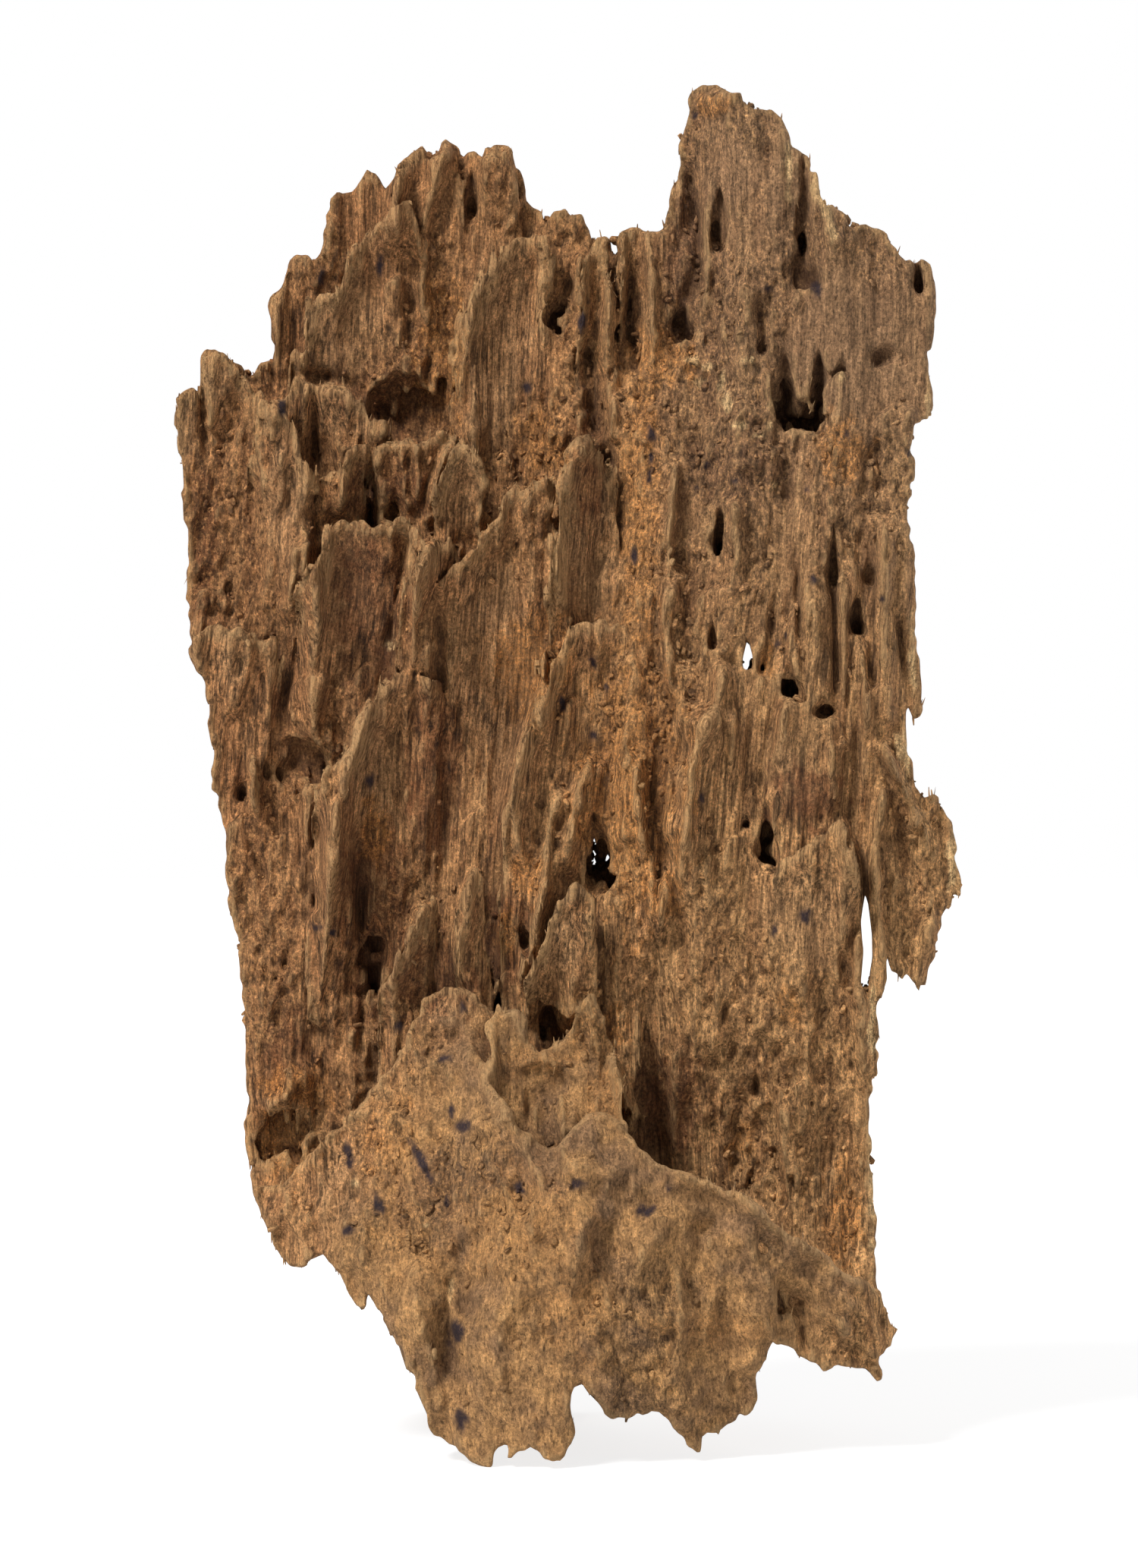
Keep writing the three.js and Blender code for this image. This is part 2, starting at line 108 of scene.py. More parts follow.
# Depths of the front and the back of the core: a row for each height, and a number for each place across.
ACROSS = (-88, -62, -36, -10, 16, 42, 68, 90)
UP = (-8, 22, 60, 100, 140, 180, 220, 260, 302)
CORE_FRONT = (
    (-8, -18, -30, -30, -26, -20, -18, -12),
    (-8, -20, -32, -32, -28, -23, -20, -12),
    (4, 4, 2, -2, -4, -6, -8, -6),
    (-2, -3, -4, -12, -18, -21, -15, -6),
    (-4, -2, -2, -12, -20, -22, -15, -6),
    (-4, 2, 6, -2, -14, -18, -15, -9),
    (0, 10, 14, 8, -8, -15, -15, -9),
    (6, 10, 11, 8, 6, -12, -14, -8),
    (10, 10, 10, 8, 4, -10, -10, -6),
)
CORE_BACK = (
    (16, 28, 45, 50, 44, 46, 30, 16),
    (16, 30, 45, 49, 45, 43, 29, 16),
    (14, 28, 42, 46, 43, 36, 24, 12),
    (12, 28, 40, 44, 42, 32, 20, 8),
    (10, 27, 40, 44, 42, 32, 18, 6),
    (12, 27, 38, 41, 38, 28, 15, 3),
    (14, 24, 30, 31, 28, 18, 7, 0),
    (15, 19, 21, 20, 16, 5, -2, -4),
    (15, 16, 16, 15, 11, -4, -5, -3),
)
# Depths of the outer skin, at its own heights.
SKIN_LEVELS = (-8, 22, 50, 76, 104)
SKIN_FRONT = (
    (-16, -26, -42, -45, -37, -24, -15, -10),
    (-16, -28, -43, -46, -40, -31, -20, -12),
    (-14, -27, -40, -45, -42, -35, -22, -12),
    (-10, -21, -34, -40, -38, -32, -20, -10),
    (-8, -16, -29, -34, -34, -29, -18, -8),
)

# The piece as the eye sees it, clockwise from its left edge.
OUTLINE = (
    (-86.4, 227), (-86, 230), (-84.5, 231.6), (-82.5, 232.3), (-81.2, 231.3), (-80.9, 235), (-80.7, 239),
    (-79.5, 240.2), (-77.8, 240.7), (-75.8, 240), (-74, 238.4), (-72, 237.2), (-70, 235), (-68, 236.2),
    (-66.5, 237.8), (-65, 237.8), (-64.7, 240), (-65.2, 244), (-66.2, 250.5), (-65.2, 252.3), (-63.5, 254),
    (-62.5, 255.5), (-61.5, 259.5), (-60.5, 261.3), (-59, 261), (-57.3, 260.8), (-56.2, 259.3),
    (-54.8, 260.6), (-54, 264), (-53, 270), (-52, 272.8), (-50.5, 274.6), (-48.5, 275.2), (-46.5, 276.2),
    (-45.5, 278.2), (-44, 279.7), (-42.5, 279), (-41, 277.8), (-40.2, 276), (-39.5, 277), (-38, 278),
    (-37.3, 280.8), (-36, 282.5), (-33.5, 284), (-31.8, 285.3), (-31, 284.3), (-29.8, 283), (-28.5, 284),
    (-28, 285.8), (-26.8, 286.3), (-25.5, 285.5), (-24, 284.3), (-23, 283), (-22, 283.8), (-20.5, 283.6),
    (-19.2, 282.8), (-18.5, 284), (-17.5, 285), (-16.5, 285.6), (-15, 285), (-13.5, 285), (-12.2, 284),
    (-11.6, 280.5), (-10.5, 278), (-9.7, 275.5), (-9.2, 273), (-8, 272), (-6.8, 271.6), (-6, 270),
    (-5.3, 267.5), (-4.5, 268.8), (-3.5, 270.8), (-2, 271.2), (-1, 271.6), (0.2, 270.3), (2, 270.3),
    (3.5, 269), (4.5, 267), (5.2, 264), (6, 264.8), (7.5, 265.5), (8.7, 264.8), (9.5, 263), (10.2, 261.5),
    (10.4, 263), (10.8, 265.8), (12.5, 267.2), (14, 267.4), (16, 266.8), (17.5, 266.3), (19.3, 265.5),
    (20.2, 266.5), (21, 269.5), (21.5, 273), (22.3, 275.5), (23.8, 277.5), (24, 281), (24, 284.5),
    (24.7, 289), (26, 292), (26.4, 294), (26.5, 297.5), (28, 297.6), (29.5, 298.5), (31, 298.7), (32, 298),
    (33, 297.4), (35, 297.1), (37.3, 296.5), (38.5, 294.5), (40.5, 293.3), (42, 292.9), (44, 293.3),
    (45.2, 292.5), (46.5, 290), (48, 287.2), (49, 285.3), (50.5, 284.4), (52, 282.8), (53, 281.3),
    (52.7, 279.6), (54, 279.2), (54.6, 276.5), (55.5, 274), (56.3, 272.4), (57.8, 271.6), (59.5, 271.3),
    (60.3, 269.8), (61.5, 267.6), (63, 268), (65, 268.3), (67, 267.5), (69, 266), (70.3, 264), (71.8, 262),
    (73.5, 260.4), (75.5, 259.6), (76.5, 260.2), (78, 260.7), (79, 260.2), (79.4, 257.5), (79.8, 254),
    (80.2, 250), (80.4, 245.5), (79.7, 240.6), (78.8, 240.5), (78.2, 240), (78.5, 236), (79.5, 231),
    (79.2, 227.5), (78.5, 225.5), (77.5, 225.3), (77, 223.8), (76.3, 224.2), (75.6, 222), (75, 219),
    (76, 216.5), (75.4, 212.5), (74.8, 209.5), (74.3, 206), (74.4, 203.5), (74.9, 199), (75.6, 195),
    (76, 190), (76.4, 185), (76.2, 181), (76.6, 176), (76.9, 171), (77.6, 166), (77.8, 161.8),
    (76.7, 160.2), (75.5, 159.8), (73.8, 164.5), (74.2, 159.5), (74.2, 157.5), (74.1, 152.5), (74.8, 151),
    (75.6, 147), (76, 144.5), (76.8, 144), (78, 142.6), (79.3, 142.8), (80.2, 143.4), (81.2, 142.3),
    (82.5, 139.5), (83.8, 136.5), (84.8, 132), (85.3, 128.5), (86, 124.5), (86.3, 120.6), (85, 120.8),
    (84.2, 119), (83.7, 118), (82.8, 118.2), (82, 116.5), (81.6, 114), (81.4, 110), (80.8, 110.5),
    (80.3, 107.5), (79.4, 106), (79, 104), (78.3, 100), (77.6, 101), (77, 98.2), (76.3, 100.5),
    (75.5, 102), (74.5, 103.5), (73.8, 104.5), (73.6, 102), (72.5, 102.8), (71, 103.8), (70.2, 105.5),
    (70, 107), (69.8, 104), (69.5, 99.6), (68.8, 98.5), (68.3, 97), (68.2, 94), (68, 90), (67.9, 86),
    (67.9, 80), (67.2, 81), (66.8, 77.5), (66.4, 75), (66.5, 70), (66.6, 65), (66.7, 60), (67.2, 55),
    (67.5, 50), (67.7, 47.5), (67.3, 45), (67.5, 40), (67.7, 35), (68, 33.3), (68.8, 33), (69.2, 30.5),
    (69.8, 28), (71.2, 26.2), (72, 25), (72, 23.5), (71, 21.5), (70, 20.3), (68.3, 18.7), (68.8, 16),
    (69, 13.8), (68, 13.5), (66.8, 14.5), (65, 16), (63, 15.7), (61, 16.3), (59.5, 17), (58.5, 16.8),
    (58.3, 15.7), (56.5, 15.8), (54.5, 17), (52.5, 18), (51, 18.3), (50, 20.3), (49, 20.8), (47, 20.7),
    (45.5, 21), (44.9, 21.8), (44, 20), (43.8, 18), (43, 16.8), (41.8, 15.5), (41.2, 14), (41.5, 11.5),
    (41.6, 9.5), (41, 6.8), (40, 6.3), (37.5, 5.2), (35, 3.7), (34, 2.8), (33, 1.2), (32.5, 1.8),
    (31, 1.8), (29.5, 1), (29.2, -1), (28.7, -2.6), (27.5, -2.2), (26, -1), (25, 0), (23.8, 1.5),
    (22.5, 3.5), (21.5, 5), (20, 6.5), (18.3, 6.6), (17.5, 5.8), (15, 5.8), (13.5, 5.3), (12.8, 4.3),
    (12, 5.6), (10, 5), (9, 4.5), (7.8, 6), (6.8, 8.5), (5.5, 10), (4.5, 10.2), (3.3, 12), (2.5, 12.8),
    (1.3, 12.3), (0.5, 10.5), (0.6, 8), (1.3, 5), (1.1, 1), (0.3, -1.5), (-1, -3), (-2, -4.3),
    (-3.5, -4.5), (-5, -4), (-6.2, -3.5), (-7.3, -2.3), (-8.5, -1.2), (-9.5, -1.9), (-11, -2.3),
    (-11.8, -3.2), (-13.2, -3.8), (-13.1, -2), (-13.5, -0.7), (-14.5, -0.9), (-15.8, -1.1),
    (-16.5, -2.3), (-17, -4.5), (-17.5, -6.5), (-18.5, -6.7), (-19.8, -6.2), (-21, -5.2), (-22.5, -4.2),
    (-24, -2.8), (-25.3, -1.3), (-27, -0.2), (-29, 0.8), (-30.8, 1.9), (-31.2, 3.5), (-31.7, 6),
    (-32.5, 9), (-33.5, 11.5), (-34.3, 14), (-35.5, 16), (-36.3, 18.5), (-37.2, 20.2), (-38.5, 22),
    (-39.5, 24.2), (-40.8, 25.8), (-41.3, 27.5), (-42.5, 29), (-43.8, 31), (-44.3, 32), (-44.6, 29.5),
    (-45.5, 29.1), (-47, 30), (-48.5, 32.2), (-49.5, 34.5), (-50.2, 37.2), (-51.5, 38.5), (-53, 40.5),
    (-54.2, 41.3), (-56, 40.8), (-57.3, 39.5), (-56, 38.3), (-57.5, 38.4), (-59, 38.3), (-61, 38.5),
    (-62.5, 39.7), (-64, 41.5), (-65.5, 44), (-67, 47.5), (-68.3, 51), (-69.7, 55), (-70, 58.5),
    (-70.9, 62), (-71.3, 66), (-71.2, 70), (-71, 74), (-70.5, 75.5), (-70.8, 80), (-71, 84), (-71.3, 90),
    (-71.7, 96), (-72, 101), (-72.5, 105.5), (-72.7, 110), (-73.6, 113), (-74.3, 116.5), (-75, 120),
    (-75.2, 123.5), (-75.7, 127.5), (-75.7, 131.5), (-75.2, 133.2), (-75.7, 136), (-76.5, 139),
    (-77.2, 142), (-78, 144.5), (-78.7, 147.5), (-78.3, 150.5), (-78, 153), (-78.6, 155), (-79.4, 159),
    (-78.8, 160.3), (-78.5, 161.5), (-78.6, 162.8), (-79.4, 164), (-80, 167), (-80.5, 169.5),
    (-81.8, 169.7), (-82, 170.5), (-83, 173), (-83.3, 178), (-83.6, 183), (-83.7, 188), (-83.9, 192),
    (-83.6, 195), (-83.5, 198.5), (-84, 202), (-84.6, 206), (-84.9, 211), (-84.7, 213), (-85, 216.5),
    (-85.5, 220), (-86, 225),
)

# Ledges from the top of the piece to its foot: the depth of the left and the right end of the crest, the
# depth of the face at its foot, a depth inside the wood, the height of the foot, how far the pocket behind it
# reaches down, how far the face falls back towards its sides, and the crest from left to right.
LEDGES = (
    (8, 9, 12, 17, 228, 9, 2, (  # far left flake
        (-66, 236), (-65.2, 252.3), (-63.5, 254), (-62.5, 255.5), (-61.5, 259.5), (-60, 261), (-57.3, 259),
        (-56, 250), (-55, 240))),
    (4, 4, 12, 17, 208, 12, 3, (  # left shoulder
        (-60.8, 236), (-60.6, 240), (-58, 241), (-57.2, 246), (-57, 251.5), (-54, 252.6), (-51, 255),
        (-49.5, 258.5), (-47, 263), (-44.5, 266.5), (-42, 268.8), (-40, 270), (-38.5, 272), (-35, 272.5),
        (-32, 268))),
    (7, 7, 9, 18, 232, 10, 2, (  # spires behind the shoulder
        (-41, 262), (-38, 276), (-37.3, 280.8), (-36, 282.5), (-33.5, 284), (-31.8, 285.3), (-30.4, 283),
        (-28.5, 284), (-26.8, 286.3), (-24.5, 284), (-22.5, 270))),
    (6, 6, 8, 18, 232, 10, 2, (
        (-20.6, 268), (-20.2, 283), (-18.5, 284), (-16.5, 285.6), (-13.5, 285), (-12.2, 284), (-11.6, 280.5),
        (-10.5, 274))),
    (0, 2, 4, 16, 178, 17, 4, (  # broad upper tongue
        (-26, 236), (-26, 242), (-24.5, 246), (-22, 250), (-20, 255), (-19, 257), (-17.5, 259.5), (-16, 262),
        (-14.8, 263.8), (-13, 265.2), (-11.5, 266), (-8, 266), (-6.5, 266.2), (-5, 265.3), (-3.6, 262),
        (-2.5, 254), (-1.8, 246))),
    (2, 2, 0, 12, 198, 10, 1.5, (  # narrow columns beside the broad tongue
        (1.8, 246), (2.5, 255), (3.3, 260), (4.5, 263), (6, 264.8), (7.5, 265.5), (8.7, 264.8), (9.5, 263),
        (9.9, 258))),
    (1, 0, 0, 12, 198, 12, 2, (
        (10.4, 258), (10.8, 265.8), (12.5, 267.2), (14, 267.4), (16, 266.8), (17.5, 266.3), (19.3, 265.5),
        (20.6, 262), (21.4, 250))),
    (-2, -1, 14, 18, 188, 14, 1, (  # shelf below the left shoulder
        (-66, 227), (-66, 229), (-64.5, 229.8), (-62, 231), (-60.5, 233.2), (-59, 233.8), (-57, 233),
        (-54, 232.7), (-51.5, 233), (-49.5, 232.5), (-47.5, 231.3), (-45, 229.5), (-43, 227), (-41.5, 225.8),
        (-40, 224.8), (-38.5, 220))),
    (-5, -4, 0, 6, 158, 12, 2, (  # left corner
        (-88, 226), (-84.5, 231.6), (-82.5, 232.3), (-81, 233), (-80.7, 239), (-79.5, 240.2), (-77.8, 240.7),
        (-75.8, 240), (-74, 238.4), (-72, 237.2), (-70, 235), (-68, 232), (-66, 229.5), (-65, 222))),
    (-7, -6, 10, 18, 164, 12, 1.5, (  # two lobes under the shelf
        (-56.4, 208), (-54.8, 212.3), (-53, 213.3), (-51.2, 214.3), (-50.3, 217), (-49, 218.5),
        (-47.5, 219.6), (-46, 220.2), (-44.8, 219), (-43.7, 217.2), (-43, 210))),
    (-7, -5, 10, 18, 164, 14, 1.5, (
        (-44.2, 208), (-43.9, 217), (-42.5, 219.5), (-40.8, 221.3), (-38, 221.8), (-35, 221.5),
        (-32.5, 220.8), (-30, 222.2), (-28, 222.7), (-26, 222.2), (-24.5, 221.5), (-23, 214))),
    (-9, -10, 2, 6, 154, 14, 3, (  # tall left tongue
        (-71, 213), (-70, 219), (-68, 224), (-66.5, 227.5), (-65, 229.5), (-62, 227), (-60.5, 224),
        (-59, 220.5), (-57.5, 216.5), (-55.5, 213), (-54.2, 206))),
    (-12, -10, 6, 10, 150, 14, 3.5, (  # pointed tongue in the middle
        (-32.4, 200), (-31.5, 206), (-30.5, 209), (-29.5, 212), (-28, 215.5), (-26.5, 218.8), (-25, 220.7),
        (-23, 220.2), (-21, 219), (-19.5, 216.5), (-18.5, 214.5), (-16.8, 209), (-15, 203))),
    (-8, -8, 0, 3, 120, 14, 2, (  # column on the left edge
        (-84, 178), (-79, 180.3), (-75, 180.5), (-72, 180), (-70, 178.8), (-68, 177.5), (-65, 179),
        (-63, 172))),
    (-14, -15, 0, 7, 124, 16, 2.5, (  # wide blade
        (-60.6, 182), (-60.2, 187), (-59.5, 190), (-58, 193), (-55, 196), (-54.8, 199.5), (-53.5, 201.8),
        (-51.5, 203), (-49, 203.6), (-46.5, 203.2), (-44, 203), (-41.5, 202.8), (-39.5, 203), (-37.5, 203.8),
        (-35.5, 203.5), (-33.5, 202), (-32.5, 200), (-31, 192))),
    (-15, -12, -5, 2, 140, 12, 2, (  # inner crest of the middle ridge
        (-29.6, 186), (-29, 190.5), (-27, 191.5), (-25, 193.5), (-22.5, 196), (-20.5, 198), (-19.5, 201),
        (-17.5, 203.5), (-16, 204.5), (-14.5, 206.5), (-13, 209), (-10, 210.5), (-7, 212), (-3, 213))),
    (-20, -8, -5, 4, 130, 10, 2, (  # outer crest of the middle ridge
        (-39.8, 164), (-39.5, 168), (-38.7, 170), (-38.2, 174), (-38, 178), (-37.8, 183), (-37.2, 187.8),
        (-36, 189.2), (-35, 190), (-34.3, 192.5), (-33.3, 195), (-31.5, 197.2), (-30, 198.8), (-28, 199.6),
        (-25, 198), (-23, 190), (-21, 180))),
    (-20, -11, -12, -4, 170, 10, 2, (  # rim of the lens-shaped hollow
        (-5.2, 184), (-3.9, 195), (-3.5, 205), (-3, 210), (-2, 214), (-1, 218), (0, 219.5), (1, 220.5),
        (3, 221.3), (5, 221.6), (6, 220), (9, 217), (11, 212))),
    (-21, -12, -2, 0, 90, 12, 3, (  # big tongue low on the left
        (-57, 140), (-56, 145.5), (-54.5, 147.5), (-53, 149.2), (-51, 150), (-49.5, 152), (-48.3, 155),
        (-47, 158.5), (-45, 162), (-42.5, 165.5), (-39.5, 167.8), (-36, 169.3), (-33, 170), (-28, 168),
        (-25, 160))),
    (-25, -16, -16, 0, 72, 9, 2, (  # left margin of the middle plate
        (-15, 122), (-14.5, 130), (-14.5, 137), (-13.7, 142), (-13, 147), (-12, 150), (-10.5, 154),
        (-8.5, 160), (-6, 165), (-4.5, 170), (-3.5, 174), (-2, 176), (0, 180), (3, 181.2), (6, 180.3),
        (8, 181.5), (12, 180), (15, 174))),
    (-23, -22, -14, -2, 68, 10, 3, (  # two narrow tongues above the skin
        (-42, 97), (-41.5, 101), (-40.5, 104), (-38.5, 107), (-36.8, 110.5), (-35, 114.5), (-33.3, 117.3),
        (-31.5, 119.3), (-29.5, 120), (-28.3, 118.5), (-28, 110), (-27.6, 103))),
    (-26, -25, -16, -2, 68, 9, 2.5, (
        (-25.6, 100), (-25.2, 104), (-25.3, 110), (-25, 115), (-24.5, 119), (-23.5, 122.5), (-22, 125.5),
        (-20.5, 127), (-19, 124), (-17.6, 116), (-16.5, 108))),
    (-23, -26, -7, 0, 68, 12, 3, (  # right shoulder
        (38, 122), (41, 127.2), (43, 127), (45, 126.5), (47, 128.3), (50, 130.5), (52, 131), (54, 133),
        (56, 134.5), (58, 136.5), (60, 137), (62, 135.5), (63, 131), (64, 125), (64.6, 116))),
    (-30, -29, -37, 0, 58, 8, 2, (  # crest between the two skins
        (-17.5, 94), (-16, 97), (-14, 96.5), (-11.5, 95), (-10, 92), (-9.3, 88), (-8, 86.5), (-6, 87),
        (-4, 87.5), (-2, 89.5), (0, 92), (1.5, 95), (3, 98), (4.5, 99), (6, 98), (8, 94), (9, 90), (11, 85),
        (12, 80), (13, 72))),
    (-27, -27, -21, -12, 96, 6, 2, (  # smooth tongue low in the middle
        (-9.5, 101), (-7.5, 106), (-6.6, 110), (-5.6, 114), (-3.8, 117.5), (-2, 120.5), (0, 122.6),
        (2.5, 123.4), (5, 121), (7, 115))),
    (-19, -18, -10, -4, 124, 9, 2, (  # lobes above the right shoulder
        (43, 148), (44.5, 154), (46.5, 159), (49, 162.6), (51, 164.2), (53, 163.4), (54.5, 160), (56, 158.8),
        (57.5, 160.6), (59.8, 160.2), (61, 156), (62, 148))),
    (-24, -23, -18, -8, 122, 6, 2, (  # tongue left of them
        (24.5, 146), (26, 151), (28, 157), (30, 161), (32, 162), (34, 160), (36, 152))),
)
# Ledges of the back, written as those of the front are.
BACK_LEDGES = (
    (34, 40, 38, 14, 120, 15, 3, (
        (-72, 176), (-66, 190), (-58, 199), (-50, 214), (-42, 221), (-33, 213), (-24, 219), (-16, 206))),
    (44, 27, 38, 14, 84, 15, 3, (
        (-8, 148), (0, 163), (9, 168), (18, 179), (28, 172), (37, 186), (48, 178), (60, 160))),
    (37, 51, 46, 22, 4, 15, 3, (
        (-60, 82), (-52, 96), (-44, 101), (-34, 116), (-24, 110), (-14, 124), (-4, 113), (8, 96))),
)

# Rims of the outer skin from left to right, with the height of its foot and how far it stands behind the
# table of depths.
LEFT_RIM = (24, ((-88, 7), (-26, 7), (-18, 11), (-9, 17)), (
    (-76, 56), (-70, 57), (-65, 56.5), (-63, 57), (-60.5, 60), (-58, 62), (-56.5, 64), (-55, 66.5),
    (-53, 68.3), (-50.5, 69.3), (-49, 71), (-47.5, 73.5), (-45.5, 75.5), (-43, 78.5), (-40, 82),
    (-38, 84.5), (-36, 88.5), (-34.5, 92), (-33, 95.5), (-31.5, 98), (-29.5, 100), (-27.5, 101),
    (-25, 100.8), (-23, 100.3), (-21, 99), (-19, 97.3), (-17.5, 95.5), (-14, 92), (-9, 84)))
FRONT_RIM = (16, ((-27, 8), (-21, 4.5), (-8, -0.5)), (
    (-26, 86), (-25, 89), (-23.5, 89.2), (-21.5, 87.5), (-19.5, 85), (-18, 82.5), (-17.5, 80), (-16, 77.5),
    (-14, 75), (-12.3, 73), (-12, 71), (-10.5, 69), (-8, 67.8), (-6, 65), (-5, 64.5), (-3, 65.5),
    (-1, 67.5), (1, 69.5), (3, 71.5), (5, 73.3), (8, 73), (10.5, 71.5), (13, 69), (14.3, 66.5), (15, 65),
    (17, 63.8), (19.5, 62), (22, 60.5), (25, 59.5), (29, 58.3), (32, 57), (34.5, 55.8), (37, 55.8),
    (40, 54), (43, 51), (45, 48.8), (47.5, 46.5), (49.5, 44.8), (52, 44.2), (54.5, 43), (57, 40.8),
    (59, 38.3), (60.5, 37.2), (63, 36.8), (65, 36.5), (66, 35.5), (67.3, 34), (69, 32), (72, 28)))

# Hollows: across, up, half width, half height, depth of the middle, reach into the wood.
HOLLOWS = (
    (24.8, 247, 2.2, 5.5, -4, 6), (33, 269.6, 1.3, 6, -6, 5), (51, 270, 1.1, 12, -12, 7),
    (50.6, 258, 3, 4, -12, 3), (46.8, 233, 1.9, 8, -14, 9), (54.8, 232, 1.4, 8, -14, 9),
    (50.8, 226.4, 4.4, 4.4, -14, 9), (42.2, 242.4, 1.2, 2.8, -13.4, 2.6), (60, 236, 1.5, 3.2, -14, 1.4),
    (69.8, 240, 2.2, 2.6, -13, 3), (76.4, 256, 0.9, 3.6, -11, 3), (33, 199, 1.6, 7.5, -16, 10),
    (24.6, 198, 1.7, 5, -14, 2.4), (27, 204, 1, 2, -15, 3), (58, 194, 1, 5.6, -15, 3.4),
    (65.8, 193, 1.1, 5, -15, 2), (63.2, 182.4, 1.4, 4.4, -15, 4), (31.5, 177, 0.8, 3.6, -17, 2),
    (42.8, 171.6, 1.7, 3.2, -18, 4.4), (48.4, 166.4, 2.6, 4.2, -18, 9), (56, 162, 1.6, 2, -18, 5),
    (43.2, 133.4, 1.5, 7, -19, 9), (51, 137, 5.5, 9, -14, 2.2), (39, 137, 0.9, 1.8, -21, 4),
    (6.5, 131.5, 3.6, 8.5, -23, 14), (-59, 151.5, 7.4, 7, -7.4, 8), (-63, 67.5, 5, 8, 3, 3.4),
    (-72, 146, 2, 6.2, -8, 7), (-43, 109, 3, 9, -14, 12), (-47, 106, 1.6, 4.4, -12, 5),
    (-32.5, 131, 2.2, 0.9, -20, 4), (-17.5, 113.5, 1.2, 6.3, -24, 9), (-28.2, 108, 1.3, 7, -21, 8),
    (-10, 113.5, 1.2, 5, -25, 7), (-4.6, 92, 2.8, 4.4, -17, 5), (-79, 191, 3, 4, -5, 5),
    (-78, 184, 1.4, 2, -5, 4), (-74, 181.8, 2, 1.4, -7, 4), (-72, 208, 3, 3, -6, 3),
    (-1, 253.4, 2.1, 8.8, 1, 7), (-3.8, 248.4, 1.8, 3.2, 1, 5), (13.4, 251, 0.9, 7, 0, 4),
    (-21.2, 275, 0.8, 4, 8, 3), (-56.3, 219, 1.5, 5, -6, 8), (-39.4, 206.4, 2.5, 3.4, -6, 5),
    (-37, 230, 8, 9, 3.4, 9.4), (-16.5, 207, 2, 3, -6, 4), (-30.6, 203, 1.2, 3.4, -9, 4),
    (6.2, 45, 1.1, 4, -44, 2), (42, 42.5, 1.6, 1.6, -33, 2), (46.8, 32, 0.9, 3, -31, 3),
    (5, -2, 62, 12, 4, 30),
)
BACK_HOLLOWS = (
    (39, 172, 6, 11, 26, 24), (6, 130, 6, 14, 44, 38), (-6, 236, 5, 22, 28, 7),
)
# Outlines of the slits that go right through.
SLITS = (
    ((38.2, 170.4), (38.1, 172.8), (39.2, 177.4), (40.3, 173.4), (40.2, 170.6)),
    ((65, 121), (64.6, 118), (64.2, 115), (64.5, 111), (64.8, 108.5), (64.6, 106), (64.4, 103.5),
     (64.2, 101.5), (65.3, 99), (65.9, 101), (66.2, 104), (66.7, 107), (66.6, 112), (66, 117), (65.6, 120)),
    ((5.1, 125.5), (5, 131), (5.6, 134), (6.3, 130), (6.2, 126)),
    ((8, 127), (8.1, 129.6), (8.9, 130), (8.9, 127.4)),
)

